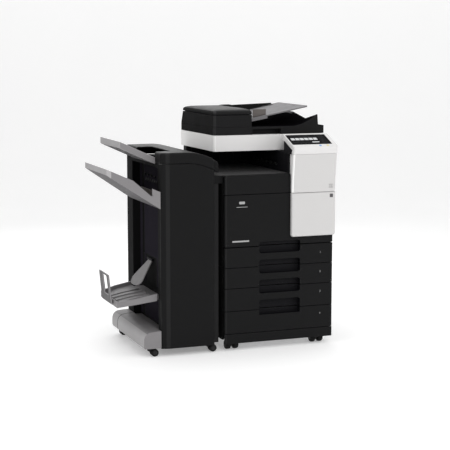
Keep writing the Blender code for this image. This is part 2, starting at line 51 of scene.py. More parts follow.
# =====================================================================  camera, light, floor
cam_data = bpy.data.cameras.new("camera")
cam = bpy.data.objects.new("camera", cam_data)
scene.collection.objects.link(cam)
cam.location = (-2.1994 + OX, -5.9525 + OY, 1.5329)
cam.rotation_euler = (math.radians(81.974), 0.0, math.radians(-20.274))
cam_data.lens = 104.32
cam_data.sensor_width = 36.0
cam_data.clip_end = 60.0
cam_data.dof.use_dof = False
scene.camera = cam


def area_light(name, loc, aim, size, power, colour=(1, 1, 1), size_y=None):
    d = bpy.data.lights.new(name, 'AREA')
    d.shape = 'RECTANGLE'
    d.size = size
    d.size_y = size_y or size
    d.energy = power
    d.color = colour
    o = bpy.data.objects.new(name, d)
    scene.collection.objects.link(o)
    o.location = loc
    o.rotation_euler = (Vector(aim) - Vector(loc)).to_track_quat('-Z', 'Y').to_euler()
    return o


area_light("key", (-0.4, -4.2, 3.2), (0.0, 0.0, 0.6), 2.4, 58.0)
area_light("fill", (2.9, -2.9, 2.0), (0.1, 0.0, 0.6), 2.2, 26.0)
area_light("left", (-3.4, -0.6, 1.9), (0.0, 0.0, 0.6), 2.0, 13.0)
area_light("top", (0.0, 0.3, 3.4), (0.0, 0.0, 0.5), 2.6, 26.0)
area_light("back", (0.6, 3.2, 2.4), (0.0, 0.0, 0.6), 2.4, 22.0)

world = bpy.data.worlds.new("studio")
scene.world = world
world.use_nodes = True
world.node_tree.nodes["Background"].inputs["Color"].default_value = (1.0, 1.0, 1.0, 1.0)
world.node_tree.nodes["Background"].inputs["Strength"].default_value = 0.62

# =====================================================================  materials
def new_mat(name):
    m = bpy.data.materials.new(name)
    m.use_nodes = True
    nt = m.node_tree
    b = nt.nodes["Principled BSDF"]
    co = nt.nodes.new("ShaderNodeTexCoord")
    return m, nt, b, co.outputs["Object"]


def noise_node(nt, vec, scale, detail=2.0, rough=0.5, seed=0.0, stretch=None):
    mp = nt.nodes.new("ShaderNodeMapping")
    mp.inputs["Location"].default_value = (seed * 1.7, seed * 0.9, seed * 2.3)
    if stretch:
        mp.inputs["Scale"].default_value = stretch
    nt.links.new(vec, mp.inputs["Vector"])
    n = nt.nodes.new("ShaderNodeTexNoise")
    n.inputs["Scale"].default_value = scale
    n.inputs["Detail"].default_value = detail
    n.inputs["Roughness"].default_value = rough
    nt.links.new(mp.outputs["Vector"], n.inputs["Vector"])
    return n.outputs["Fac"]


def ranged(nt, value, a, b, c, d):
    r = nt.nodes.new("ShaderNodeMapRange")
    r.inputs["From Min"].default_value = a
    r.inputs["From Max"].default_value = b
    r.inputs["To Min"].default_value = c
    r.inputs["To Max"].default_value = d
    nt.links.new(value, r.inputs["Value"])
    return r.outputs["Result"]


def mixed(nt, fac, a, b):
    m = nt.nodes.new("ShaderNodeMix")
    m.data_type = 'RGBA'
    for sock, v in ((m.inputs["A"], a), (m.inputs["B"], b)):
        if isinstance(v, (tuple, list)):
            sock.default_value = (*v[:3], 1.0)
        else:
            nt.links.new(v, sock)
    if isinstance(fac, (int, float)):
        m.inputs["Factor"].default_value = fac
    else:
        nt.links.new(fac, m.inputs["Factor"])
    return m.outputs["Result"]


def multiply(nt, a, b):
    m = nt.nodes.new("ShaderNodeMath")
    m.operation = 'MULTIPLY'
    for sock, v in ((m.inputs[0], a), (m.inputs[1], b)):
        if isinstance(v, (int, float)):
            sock.default_value = v
        else:
            nt.links.new(v, sock)
    return m.outputs["Value"]


def bump(nt, b, height, strength, distance):
    k = nt.nodes.new("ShaderNodeBump")
    k.inputs["Strength"].default_value = strength
    k.inputs["Distance"].default_value = distance
    nt.links.new(height, k.inputs["Height"])
    nt.links.new(k.outputs["Normal"], b.inputs["Normal"])


def plastic(name, colour, rough, var=0.06, grain=0.25, grain_scale=900.0, spec=0.5, seed=1.0, dust=0.0, spread=0.06):
    """Moulded plastic: slow colour drift, uneven gloss with faint handling marks, and a spark-eroded grain."""
    m, nt, b, vec = new_mat(name)
    drift = noise_node(nt, vec, 2.6, 3.0, 0.55, seed)
    c = mixed(nt, drift, tuple(v * (1 - var) for v in colour), tuple(v * (1 + var) for v in colour))
    if dust > 0:
        geo = nt.nodes.new("ShaderNodeNewGeometry")
        sep = nt.nodes.new("ShaderNodeSeparateXYZ")
        nt.links.new(geo.outputs["Normal"], sep.inputs["Vector"])
        up = ranged(nt, sep.outputs["Z"], 0.55, 1.0, 0.0, dust)
        speck = noise_node(nt, vec, 46.0, 5.0, 0.7, seed + 3.1)
        c = mixed(nt, multiply(nt, up, ranged(nt, speck, 0.40, 0.72, 0.25, 1.0)), c, (0.33, 0.32, 0.31))
    nt.links.new(c, b.inputs["Base Color"])
    wear = noise_node(nt, vec, 17.0, 5.0, 0.62, seed + 5.0)
    nt.links.new(ranged(nt, wear, 0.30, 0.70, rough - spread, rough + spread), b.inputs["Roughness"])
    b.inputs["Specular IOR Level"].default_value = spec
    bump(nt, b, noise_node(nt, vec, grain_scale, 2.0, 0.5, seed), grain, 0.00025)
    return m


def metal(name, colour, rough, seed=1.0, brushed=None, spangle=False):
    m, nt, b, vec = new_mat(name)
    b.inputs["Metallic"].default_value = 1.0
    if spangle:
        v = nt.nodes.new("ShaderNodeTexVoronoi")
        v.inputs["Scale"].default_value = 55.0
        nt.links.new(vec, v.inputs["Vector"])
        sep = nt.nodes.new("ShaderNodeSeparateColor")
        nt.links.new(v.outputs["Color"], sep.inputs["Color"])
        nt.links.new(mixed(nt, sep.outputs["Red"], tuple(c * 0.86 for c in colour), tuple(c * 1.08 for c in colour)),
                     b.inputs["Base Color"])
        nt.links.new(ranged(nt, sep.outputs["Green"], 0.0, 1.0, rough - 0.08, rough + 0.12), b.inputs["Roughness"])
    else:
        n = noise_node(nt, vec, 30.0, 4.0, 0.6, seed)
        nt.links.new(mixed(nt, n, tuple(c * 0.90 for c in colour), tuple(c * 1.06 for c in colour)), b.inputs["Base Color"])
        nt.links.new(ranged(nt, n, 0.3, 0.7, rough - 0.07, rough + 0.07), b.inputs["Roughness"])
    bump(nt, b, noise_node(nt, vec, 420.0, 2.0, 0.5, seed, brushed), 0.16, 0.0002)
    return m


BLACK_C = (0.0058, 0.0058, 0.0061)
M = {}
M["black"] = plastic("charcoal_plastic", BLACK_C, 0.46, spec=0.11, seed=1.0, dust=0.012)
# painted light: a lighter charcoal for rounded left corners, a band on the finisher front and the shaded strip beside
# the main unit
M["black_painted_light"] = plastic("charcoal_plastic_painted_light", (0.0112, 0.0112, 0.0116), 0.44, spec=0.14, seed=1.2)
# painted shade: near-black with no reflection, for the exit tray floor under the input tray and the relay deck edges
M["black_painted_shade"] = plastic("charcoal_plastic_painted_shade", (0.0050, 0.0048, 0.0058), 0.80, spec=0.0, seed=1.3, grain=0.35)
# bevel faces: glossier charcoal with a lighter colour as painted highlight
M["black_edge_highlight"] = plastic("charcoal_plastic_edge_highlight", (0.0076, 0.0076, 0.0080), 0.40, grain=0.06, spec=0.20, seed=1.5)
M["black_rim"] = plastic("charcoal_plastic_rim", (0.0056, 0.0055, 0.0060), 0.46, grain=0.10, spec=0.14, seed=1.7)
M["black_fin"] = plastic("charcoal_plastic_finisher", (0.0072, 0.0072, 0.0075), 0.48, spec=0.09, seed=2.0, dust=0.012)
M["black_top"] = plastic("charcoal_plastic_feeder", (0.0094, 0.0094, 0.0098), 0.52, spec=0.09, seed=3.0, dust=0.006)
# painted light: a lighter charcoal for the sloped walls of the exit tray
M["black_wall_painted_light"] = plastic("charcoal_plastic_wall_painted_light", (0.0300, 0.0295, 0.0310), 0.60, spec=0.05, seed=3.6)
# painted light: a copy for left-facing faces with the reflection nearly taken out and a lighter base
M["black_side_painted_light"] = plastic("charcoal_plastic_side_painted_light", (0.0115, 0.0115, 0.0118), 0.62, spec=0.015, seed=3.4)
# painted light: a lighter tray grey for the faces that look left
M["grey_painted_light"] = plastic("grey_tray_plastic_painted_light", (0.320, 0.311, 0.315), 0.46, var=0.03, grain=0.2, spec=0.36, seed=6.1)
# dark purplish rib plastic, lightened as painted light against the shade of the lift recess
M["rib"] = plastic("black_rib_plastic_painted_light", (0.0300, 0.0265, 0.0370), 0.60, spec=0.04, seed=4.6)
M["grey_stop"] = plastic("grey_stopper_plastic", (0.105, 0.102, 0.104), 0.55, var=0.03, spec=0.16, seed=6.3)
# painted light: a brighter white for the left faces and rounded left corners
M["white_painted_light"] = plastic("white_plastic_painted_light", (0.880, 0.872, 0.864), 0.40, var=0.01, grain=0.12, spec=0.45, seed=5.7)
# painted highlight: a brighter grey for the rounded corners and bends of the trays and foot
M["grey_painted_highlight"] = plastic("grey_tray_plastic_painted_highlight", (0.400, 0.390, 0.395), 0.38, var=0.02, grain=0.08, spec=0.45, seed=6.2)
# painted shade: a darker copy of the white plastic for the column and the door panel
M["white_col"] = plastic("white_plastic_painted_shade", (0.575, 0.567, 0.562), 0.44, var=0.012, grain=0.16, spec=0.40, seed=5.2)
# painted highlight: a lighter charcoal for the rounded left corners of the feeder
M["black_painted_highlight"] = plastic("charcoal_plastic_painted_highlight", (0.0200, 0.0200, 0.0206), 0.46, spec=0.14, seed=3.2)
# plastic of the inner parts, also laid on the finger recess faces as painted shade
M["black_in"] = plastic("black_plastic_inner_and_recess_shade", (0.0046, 0.0044, 0.0058), 0.60, spec=0.12, seed=4.0, grain=0.35)
M["black_deep"] = plastic("black_shadow_recess", (0.0040, 0.0040, 0.0048), 0.75, spec=0.10, seed=4.4, grain=0.3)
# painted light: the relay deck top is lightened against the shade under the scanner
M["deck"] = plastic("charcoal_plastic_deck_painted_light", (0.0600, 0.0590, 0.0600), 0.50, spec=0.22, seed=4.8, dust=0.012)
M["white"] = plastic("white_plastic", (0.685, 0.677, 0.673), 0.42, var=0.012, grain=0.16, spec=0.45, seed=5.0)
# bevel faces: glossier white with a lighter colour as painted highlight
M["white_edge_highlight"] = plastic("white_plastic_edge_highlight", (0.74, 0.735, 0.73), 0.34, var=0.01, grain=0.05, spec=0.45, seed=5.5)
M["grey"] = plastic("grey_tray_plastic", (0.212, 0.204, 0.209), 0.50, var=0.03, grain=0.22, spec=0.32, seed=6.0)
# bevel faces: a lighter, glossier tray grey as painted highlight
M["grey_edge_highlight"] = plastic("grey_tray_plastic_edge_highlight", (0.330, 0.318, 0.328), 0.42, var=0.02, grain=0.06, spec=0.36, seed=6.5)
M["grey_in"] = plastic("grey_tray_plastic_shade", (0.082, 0.077, 0.082), 0.60, var=0.04, grain=0.3, spec=0.20, seed=6.8)
M["grey_feed"] = plastic("grey_input_tray_plastic", (0.150, 0.146, 0.152), 0.56, var=0.03, grain=0.25, spec=0.18, seed=6.9)
M["taupe"] = plastic("taupe_plastic", (0.100, 0.088, 0.082), 0.55, var=0.04, grain=0.2, spec=0.35, seed=7.0)
M["bin"] = plastic("drawer_bin_plastic", (0.250, 0.250, 0.255), 0.55, var=0.04, grain=0.25, spec=0.35, seed=7.5)
M["rubber"] = plastic("rubber", (0.0095, 0.0095, 0.0095), 0.74, var=0.12, grain=0.5, grain_scale=500.0, spec=0.12, seed=8.0, dust=0.03)
M["hub"] = plastic("caster_hub_plastic", (0.0150, 0.0150, 0.0155), 0.50, var=0.08, grain=0.2, spec=0.18, seed=8.5)
M["steel"] = metal("galvanised_sheet", (0.50, 0.50, 0.51), 0.36, spangle=True)
M["screw"] = metal("zinc_screw", (0.42, 0.42, 0.43), 0.32, seed=9.0)
M["chrome"] = metal("polished_shaft", (0.62, 0.62, 0.63), 0.18, seed=9.5, brushed=(1.0, 14.0, 1.0))
M["print"] = plastic("light_print", (0.36, 0.36, 0.36), 0.50, var=0.03, grain=0.05, spec=0.3, seed=10.0)
M["print_dark"] = plastic("dark_print", (0.085, 0.080, 0.085), 0.50, var=0.05, grain=0.05, spec=0.3, seed=10.2)
M["print_pale"] = plastic("pale_grey_print", (0.46, 0.455, 0.45), 0.50, var=0.03, grain=0.05, spec=0.3, seed=10.4)
M["icon"] = plastic("display_tile", (0.60, 0.61, 0.62), 0.30, var=0.03, grain=0.02, spec=0.4, seed=10.6)
M["icon_dim"] = plastic("display_tile_dim", (0.0085, 0.0090, 0.0100), 0.30, var=0.05, grain=0.02, spec=0.02, seed=10.8)
M["blue"] = plastic("key_blue_resin", (0.16, 0.34, 0.66), 0.30, var=0.05, grain=0.05, spec=0.5, seed=11.0)
M["amber"] = plastic("key_amber_resin", (0.72, 0.62, 0.26), 0.32, var=0.05, grain=0.05, spec=0.5, seed=11.5)
M["green"] = plastic("green_touch_point", (0.045, 0.170, 0.085), 0.42, var=0.06, grain=0.15, spec=0.4, seed=12.0)
M["foam"] = plastic("white_backing_foam", (0.66, 0.66, 0.65), 0.85, var=0.02, grain=0.9, grain_scale=420.0, spec=0.15, seed=12.5)
M["toner"] = plastic("toner_bottle_plastic", (0.030, 0.030, 0.032), 0.34, var=0.08, grain=0.1, spec=0.5, seed=13.0)


def glossy(name, colour, rough, spec=0.5, coat=0.0, transmission=0.0, seed=1.0):
    m, nt, b, vec = new_mat(name)
    n = noise_node(nt, vec, 9.0, 4.0, 0.6, seed)
    nt.links.new(mixed(nt, n, tuple(c * 0.9 for c in colour), tuple(c * 1.1 for c in colour)), b.inputs["Base Color"])
    nt.links.new(ranged(nt, n, 0.3, 0.7, rough, rough + 0.05), b.inputs["Roughness"])
    b.inputs["Specular IOR Level"].default_value = spec
    b.inputs["Coat Weight"].default_value = coat
    b.inputs["Coat Roughness"].default_value = 0.04
    b.inputs["Transmission Weight"].default_value = transmission
    return m


M["glass"] = glossy("panel_black_glass", (0.0042, 0.0042, 0.0048), 0.16, 0.015)
M["platen"] = glossy("platen_glass_sheet", (0.62, 0.70, 0.67), 0.03, 0.5, transmission=0.85, seed=2.0)
M["drum"] = glossy("drum_coating", (0.012, 0.085, 0.080), 0.12, 0.6, coat=0.6, seed=3.0)

# =====================================================================  shape helpers
def loft(loops, cap=True):
    bm = bmesh.new()
    rows = [[bm.verts.new(p) for p in loop] for loop in loops]
    n = len(rows[0])
    for a, b in zip(rows, rows[1:]):
        for i in range(n):
            bm.faces.new((a[i], a[(i + 1) % n], b[(i + 1) % n], b[i]))
    if cap == 'strip':            # ring that runs out and back: caps as a row of quads
        for row in (rows[0], rows[-1]):
            for i in range(n // 2 - 1):
                bm.faces.new((row[i], row[i + 1], row[n - 2 - i], row[n - 1 - i]))
    elif cap:
        bm.faces.new(rows[0])
        bm.faces.new(rows[-1])
    bmesh.ops.recalc_face_normals(bm, faces=bm.faces[:])
    return bm


def prism(points, axis, a, b):
    def put(u, v, t):
        return {'X': (t, u, v), 'Y': (u, t, v), 'Z': (u, v, t)}[axis]
    return loft([[put(u, v, a) for u, v in points], [put(u, v, b) for u, v in points]])


def box(x0, x1, y0, y1, z0, z1):
    return prism([(x0, y0), (x1, y0), (x1, y1), (x0, y1)], 'Z', z0, z1)


def rect(u0, u1, v0, v1, radii, seg=8):
    if isinstance(radii, (int, float)):
        radii = (radii,) * 4
    out = []
    corners = [(u0, v0, 1, 1, 180), (u1, v0, -1, 1, 270), (u1, v1, -1, -1, 0), (u0, v1, 1, -1, 90)]
    for (u, v, su, sv, start), r in zip(corners, radii):
        if r <= 0:
            out.append((u, v))
            continue
        cu, cv = u + su * r, v + sv * r
        for i in range(seg + 1):
            t = math.radians(start + 90.0 * i / seg)
            out.append((cu + r * math.cos(t), cv + r * math.sin(t)))
    return out


def turned(profile, centre, axis, seg=40):
    loops = []
    for t, r in profile:
        ring = []
        for i in range(seg):
            a = 2 * math.pi * i / seg
            c, s = r * math.cos(a), r * math.sin(a)
            if axis == 'X':
                ring.append((centre[0] + t, centre[1] + c, centre[2] + s))
            elif axis == 'Y':
                ring.append((centre[0] + c, centre[1] + t, centre[2] + s))
            else:
                ring.append((centre[0] + c, centre[1] + s, centre[2] + t))
        loops.append(ring)
    return loft(loops)


def merge(*bms):
    """Several closed bodies in one bmesh."""
    out = bmesh.new()
    for bm in bms:
        table = {v: out.verts.new(v.co) for v in bm.verts}
        for f in bm.faces:
            out.faces.new([table[v] for v in f.verts])
        bm.free()
    return out


def smooth_line(points, n):
    """Catmull-Rom through tuples of any length."""
    pts = [points[0]] + list(points) + [points[-1]]
    out = []
    segs = len(points) - 1
    for k in range(n + 1):
        t = segs * k / n
        i = min(int(t), segs - 1)
        f = t - i
        p0, p1, p2, p3 = pts[i], pts[i + 1], pts[i + 2], pts[i + 3]
        out.append(tuple(0.5 * (2 * b + (c - a) * f + (2 * a - 5 * b + 4 * c - d) * f * f + (3 * b - a - 3 * c + d) * f ** 3)
                         for a, b, c, d in zip(p0, p1, p2, p3)))
    return out


def round_edges(bm, test, offset, seg=4):
    es = [e for e in bm.edges if all(test(v.co) for v in e.verts)]
    bmesh.ops.bevel(bm, geom=es, offset=offset, segments=seg, affect='EDGES', profile=0.5, clamp_overlap=True)
    return bm


def raw(name, bm):
    me = bpy.data.meshes.new(name)
    bm.to_mesh(me)
    bm.free()
    me.transform(Matrix.Translation(SHIFT))
    ob = bpy.data.objects.new(name, me)
    scene.collection.objects.link(ob)
    return ob


def piece(name, bm, mat, body, cuts=(), adds=(), bevel=0.0010, seg=2, smooth=32, edge=None, rep=(), limit=28, inner=None, underside_shade=None, side=None, corner=None, where=()):
    """A finished piece: body, booleans, softened edges, weighted normals."""
    ob = raw(name, bm)
    mats = [M[mat]]
    if edge:
        mats.append(M[edge])
    if inner:
        mats.append(M[inner])
    for m in mats:
        ob.data.materials.append(m)
    tools = []
    for op, group in (('UNION', adds), ('DIFFERENCE', cuts)):
        for k, cb in enumerate(group):
            t = raw("tool_%s_%s_%d" % (name, op[0], k), cb)
            if inner and op == 'DIFFERENCE':
                for m in mats:
                    t.data.materials.append(m)
                for p in t.data.polygons:
                    p.material_index = len(mats) - 1
            tools.append(t)
            md = ob.modifiers.new(op[0] + str(k), 'BOOLEAN')
            md.operation = op
            md.object = t
            md.solver = 'EXACT'
    if bevel > 0:
        md = ob.modifiers.new("edge", 'BEVEL')
        md.width = bevel
        md.segments = seg
        md.limit_method = 'ANGLE'
        md.angle_limit = math.radians(limit)
        md.use_clamp_overlap = True
        md.miter_outer = 'MITER_SHARP'
        # the bevel faces take the edge material; the lighter edge materials are painted highlights
        if edge:
            md.material = 1
    dg = bpy.context.evaluated_depsgraph_get()
    me = bpy.data.meshes.new_from_object(ob.evaluated_get(dg), depsgraph=dg)
    ob.modifiers.clear()
    old = ob.data
    ob.data = me
    bpy.data.meshes.remove(old)
    me.name = name
    for t in tools:
        td = t.data
        bpy.data.objects.remove(t, do_unlink=True)
        bpy.data.meshes.remove(td)
    if len(me.polygons) < 6:
        raise RuntimeError("empty piece " + name)
    bm2 = bmesh.new()
    bm2.from_mesh(me)
    bmesh.ops.dissolve_degenerate(bm2, dist=1e-6, edges=bm2.edges[:])
    bm2.normal_update()
    # painted light and shade by face direction: underside_shade gives downward faces a darker copy, side gives
    # left-facing faces a lit copy, corner puts a painted highlight on the rounded left corners; where adds further
    # masks
    for extra, test in [(underside_shade, lambda c, nr: nr.z < -0.35), (side, lambda c, nr: nr.x < -0.60), (corner, turned_corner)] + list(where):
        if extra:
            me.materials.append(M[extra])
            k = len(me.materials) - 1
            for f in bm2.faces:
                if test(f.calc_center_median() - SHIFT, f.normal):
                    f.material_index = k
    bm2.to_mesh(me)
    bm2.free()
    me.shade_smooth()
    me.set_sharp_from_angle(angle=math.radians(smooth))
    md = ob.modifiers.new("normals", 'WEIGHTED_NORMAL')
    md.mode = 'FACE_AREA'
    md.weight = 60
    md.keep_sharp = True
    dg = bpy.context.evaluated_depsgraph_get()
    me2 = bpy.data.meshes.new_from_object(ob.evaluated_get(dg), depsgraph=dg)
    ob.modifiers.clear()
    ob.data = me2
    bpy.data.meshes.remove(me)
    me2.name = name
    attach(ob, body)
    if rep:
        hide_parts(*([rep] if isinstance(rep, str) else rep))
    return ob


def paint(node, mat):
    """A CAD node that stays gets a procedural material."""
    o = NODES[node]
    o.data.materials.clear()
    o.data.materials.append(M[mat])


def screws(name, spots, body, axis, r=0.0032):
    """Pan-head screws with a cross recess; spots are points on the surface, axis is the outward direction."""
    bms = []
    for p in spots:
        n = Vector(axis)
        up = Vector((0, 0, 1)) if abs(n.z) < 0.9 else Vector((1, 0, 0))
        a = up.cross(n).normalized()
        b = n.cross(a)
        loops = []
        for h, rr in ((-0.0004, r), (0.0007, r), (0.0013, r * 0.82), (0.0016, r * 0.45), (0.0009, r * 0.32), (0.0005, r * 0.10)):
            loops.append([Vector(p) + n * h + a * (rr * math.cos(2 * math.pi * i / 16)) + b * (rr * math.sin(2 * math.pi * i / 16))
                          for i in range(16)])
        bms.append(loft(loops))
    return piece(name, merge(*bms), "screw", body, bevel=0)


# =====================================================================  constants of the machine
W, BACK = 0.585, 0.658
SEAM = [0.0867, 0.2012, 0.3157, 0.4196, 0.5211]
HAND = {1: (0.486, 0.544), 2: (0.384, 0.453), 3: (0.283, 0.352), 4: (0.174, 0.250)}
HAND_X, HAND_D = (0.182, 0.404), 0.034
FR = 0.012
COL_X = (0.348, 0.587)
SCAN_X, SCAN_Y, SCAN_Z = (0.0, 0.603), (0.163, 0.658), (0.985, 1.0651)
FIN_X, FIN_Z0 = (-0.328, -0.053), 0.039
WHEEL_R, FWHEEL_R = 0.0245, 0.019


def in_recess(c, nr):
    """Faces inside the finger recesses; they take the darker inner plastic as painted shade."""
    return c.y > 0.0022 and c.y < 0.0341 and HAND_X[0] - 0.0005 < c.x < HAND_X[1] + 0.0005 and c.z > 0.160


def turned_corner(c, nr):
    """Rounded vertical corner at the left of a front; these faces take a lighter copy of the material as a painted
    highlight.
    """
    return nr.x < -0.25 and nr.y < -0.25


def front_plan(y1, r=FR):
    return rect(0.0, W, 0.0, y1, (r, r, 0, 0), 8)


# =====================================================================  main unit
piece("plinth_front_shell", prism(front_plan(0.0125, 0.010), 'Z', 0.0370, SEAM[0] - 0.0012), "black", "root",
      # painted highlight: the rounded left corner takes the lighter charcoal
      bevel=0.0017, edge="black_rim", corner="black_painted_light", rep="plinth_front")

# left side cover: flat sheet with a louvre field
piece("left_side_shell", box(0.0010, 0.0120, 0.0450, 0.6460, 0.0520, 0.8375), "black", "root",
      cuts=[merge(*[box(-0.01, 0.0045, 0.470, 0.590, 0.300 + 0.011 * k, 0.3055 + 0.011 * k) for k in range(12)]),
            merge(*[box(-0.01, 0.0030, 0.050, 0.640, z, z + 0.0016) for z in (0.4200,)])],
      # painted light: the faces looking left take the side copy of the charcoal
      bevel=0.0009, edge="black_rim", side="black_side_painted_light", rep="left_side_cover")

# right side cover: louvres, lifting recess, panel seam
piece("right_side_shell", box(0.5730, 0.5840, 0.0450, 0.6460, 0.0520, 0.4970), "black", "root",
      cuts=[merge(*[box(0.5800, 0.60, 0.455, 0.605, 0.110 + 0.011 * k, 0.1155 + 0.011 * k) for k in range(10)]),
            prism(rect(0.085, 0.195, 0.285, 0.318, 0.010), 'X', 0.5755, 0.60),
            box(0.5815, 0.60, 0.345, 0.3466, 0.04, 0.50)],
      bevel=0.0009, edge="black_edge_highlight", rep="right_side_cover")
screws("right_side_screws", [(0.5840, 0.060, 0.075), (0.5840, 0.630, 0.075), (0.5840, 0.060, 0.478), (0.5840, 0.630, 0.478)],
       "root", (1, 0, 0))
screws("left_side_screws", [(0.0010, 0.630, 0.075), (0.0010, 0.630, 0.400), (0.0010, 0.630, 0.815)], "root", (-1, 0, 0))

# rear cover: upper and lower panel, two grilles, connector bay, inlet recess
grille = [box(0.075, 0.235, 0.6540, 0.68, 0.620 + 0.0105 * k, 0.6252 + 0.0105 * k) for k in range(16)]
grille += [box(0.370, 0.520, 0.6540, 0.68, 0.665 + 0.0105 * k, 0.6702 + 0.0105 * k) for k in range(12)]
grille += [box(0.075, 0.195, 0.6540, 0.68, 0.110 + 0.0105 * k, 0.1152 + 0.0105 * k) for k in range(9)]
piece("rear_cover_shell", box(0.0010, 0.5840, 0.6463, BACK, 0.0370, 0.8795), "black", "root",
      cuts=[box(0.480, 0.508, 0.6500, 0.70, 0.120, 0.142), merge(*grille),
            prism(rect(0.430, 0.560, 0.330, 0.500, 0.006), 'Y', 0.6535, 0.70),
            merge(box(-0.01, 0.60, 0.6560, 0.68, 0.5400, 0.5416), box(-0.01, 0.60, 0.6560, 0.68, 0.2600, 0.2616)),
            prism(rect(0.250, 0.335, 0.200, 0.226, 0.008), 'Y', 0.6500, 0.70)],
      bevel=0.0009, edge="black_edge_highlight", rep="rear_cover")
screws("rear_cover_screws", [(x, BACK - 0.0016, z) for x in (0.022, 0.2925, 0.563) for z in (0.060, 0.245, 0.560, 0.860)], "root", (0, 1, 0), 0.0036)
piece("inlet_insert", prism(rect(0.4812, 0.5068, 0.1212, 0.1408, 0.002), 'Y', 0.6502, 0.6552), "black_in", "root",
      cuts=[prism(rect(0.4835, 0.5045, 0.1230, 0.1390, (0.0012, 0.0012, 0.005, 0.005), 4), 'Y', 0.6512, 0.66)],
      bevel=0.0004)
piece("inlet_pins", merge(*[box(x - 0.0020, x + 0.0020, 0.6508, 0.6546, z - 0.0010, z + 0.0010)
                            for x, z in ((0.4880, 0.1290), (0.5000, 0.1290), (0.4940, 0.1345))]), "chrome", "root",
      bevel=0.0003)
ports = [(0.445, 0.462, 0.455, 0.469), (0.445, 0.4575, 0.430, 0.4355), (0.465, 0.4775, 0.430, 0.4355),
         (0.445, 0.4570, 0.395, 0.4060), (0.500, 0.535, 0.450, 0.4620), (0.500, 0.535, 0.410, 0.4220)]
piece("port_plate", prism(rect(0.4310, 0.5590, 0.3310, 0.4990, 0.005), 'Y', 0.6537, 0.6550), "steel", "root",
      cuts=[merge(*[box(a, b, 0.6540, 0.67, c, d) for a, b, c, d in ports])], bevel=0.0003, inner="black_deep")
piece("port_plate_screws_bosses", merge(*[turned([(0.0, 0.0042), (0.0006, 0.0042), (0.0010, 0.0034)], (x, 0.6550, z), 'Y', 20)
                                          for x in (0.438, 0.552) for z in (0.340, 0.490)]), "screw", "root", bevel=0)

# upper front cover
piece("upper_front_shell", prism(rect(0.0, COL_X[0] - 0.0015, 0.0, 0.030, (FR, 0, 0, 0), 8), 'Z', 0.7853, 0.8790),
      # painted highlight: the rounded left corner takes the lighter charcoal
      "black", "root", bevel=0.0017, seg=3, edge="black_rim", corner="black_painted_light", rep="upper_front_cover")

# white column, leaning forward to the panel
col_line = smooth_line([(0.7850, -0.0200), (0.8200, -0.0216), (0.8600, -0.0253), (0.9000, -0.0300),
                        (0.9400, -0.0343), (0.9763, -0.0380)], 22)
piece("column_shell", loft([[(x + (0.009 if y > 0.02 and x < 0.40 else 0.0), y, z) for x, y in rect(COL_X[0], COL_X[1], f, 0.030, (0.010, 0.013, 0, 0), 8)]
                            for z, f in col_line]),
      # painted light: the left face and the rounded left corner take the brighter white
      "white_col", "root", bevel=0.0012, seg=3, edge="white_edge_highlight", limit=50, corner="white_painted_light", side="white_painted_light", rep="column_cover")

# neck under the scanner
neck_exit = box(0.330, 0.3560, 0.170, 0.500, 0.9080, 0.9330)
piece("scanner_neck", prism([(0.0020, 0.6000), (0.3465, 0.6000), (0.3465, 0.0305), (0.5830, 0.0305),
                             (0.5830, 0.6455), (0.0020, 0.6455)], 'Z', 0.8803, 0.9845), "black_in", "root",
      adds=[prism([(-0.018, 0.9770), (0.075, 0.9770), (0.075, 1.0375), (-0.018, 0.9975)], 'X', 0.3420, 0.5830)],
      cuts=[neck_exit, merge(*[box(0.5810, 0.60, 0.120 + 0.016 * k, 0.128 + 0.016 * k, 0.905, 0.960) for k in range(8)]),
            merge(*[box(0.030 + 0.04 * k, 0.0316 + 0.04 * k, 0.590, 0.6012, 0.890, 0.975) for k in range(8)])],
      bevel=0.0014, seg=3, edge="black_edge_highlight", rep="scanner_support")
piece("exit_rollers", merge(*[turned([(0, 0.003), (0.002, 0.0075), (0.022, 0.0075), (0.024, 0.003)], (0.3495, 0.190 + 0.062 * k, 0.9130), 'Y', 24)
                              for k in range(5)]), "rubber", "root", bevel=0)
piece("exit_roller_shaft", turned([(0, 0.0026), (0.322, 0.0026)], (0.3495, 0.174, 0.9130), 'Y', 16), "chrome", "root", bevel=0)

# exit deck: shallow ribs and the bridge nose into the finisher
piece("relay_deck", box(0.0005, 0.3460, 0.0305, 0.5995, 0.8380, 0.8798), "black", "root",
      adds=[box(-0.0547, 0.0100, 0.0310, 0.5975, 0.8403, 0.8795)],
      cuts=[merge(*[box(0.028, 0.330, 0.080 + 0.036 * k, 0.0835 + 0.036 * k, 0.8783, 0.89) for k in range(14)])],
      # painted shade on the bevels; painted light on the deck top, lifted out of the shade under the scanner
      bevel=0.0010, edge="black_painted_shade", where=[("deck", lambda c, nr: nr.z > 0.8)], rep="relay_unit")

# =====================================================================  scanner
def splay(ring):
    """The left flank widens slightly towards the rear."""
    return [(x - 0.0095 * max(0.0, y - 0.165) / 0.493 if x < 0.1 else x, y) for x, y in ring]


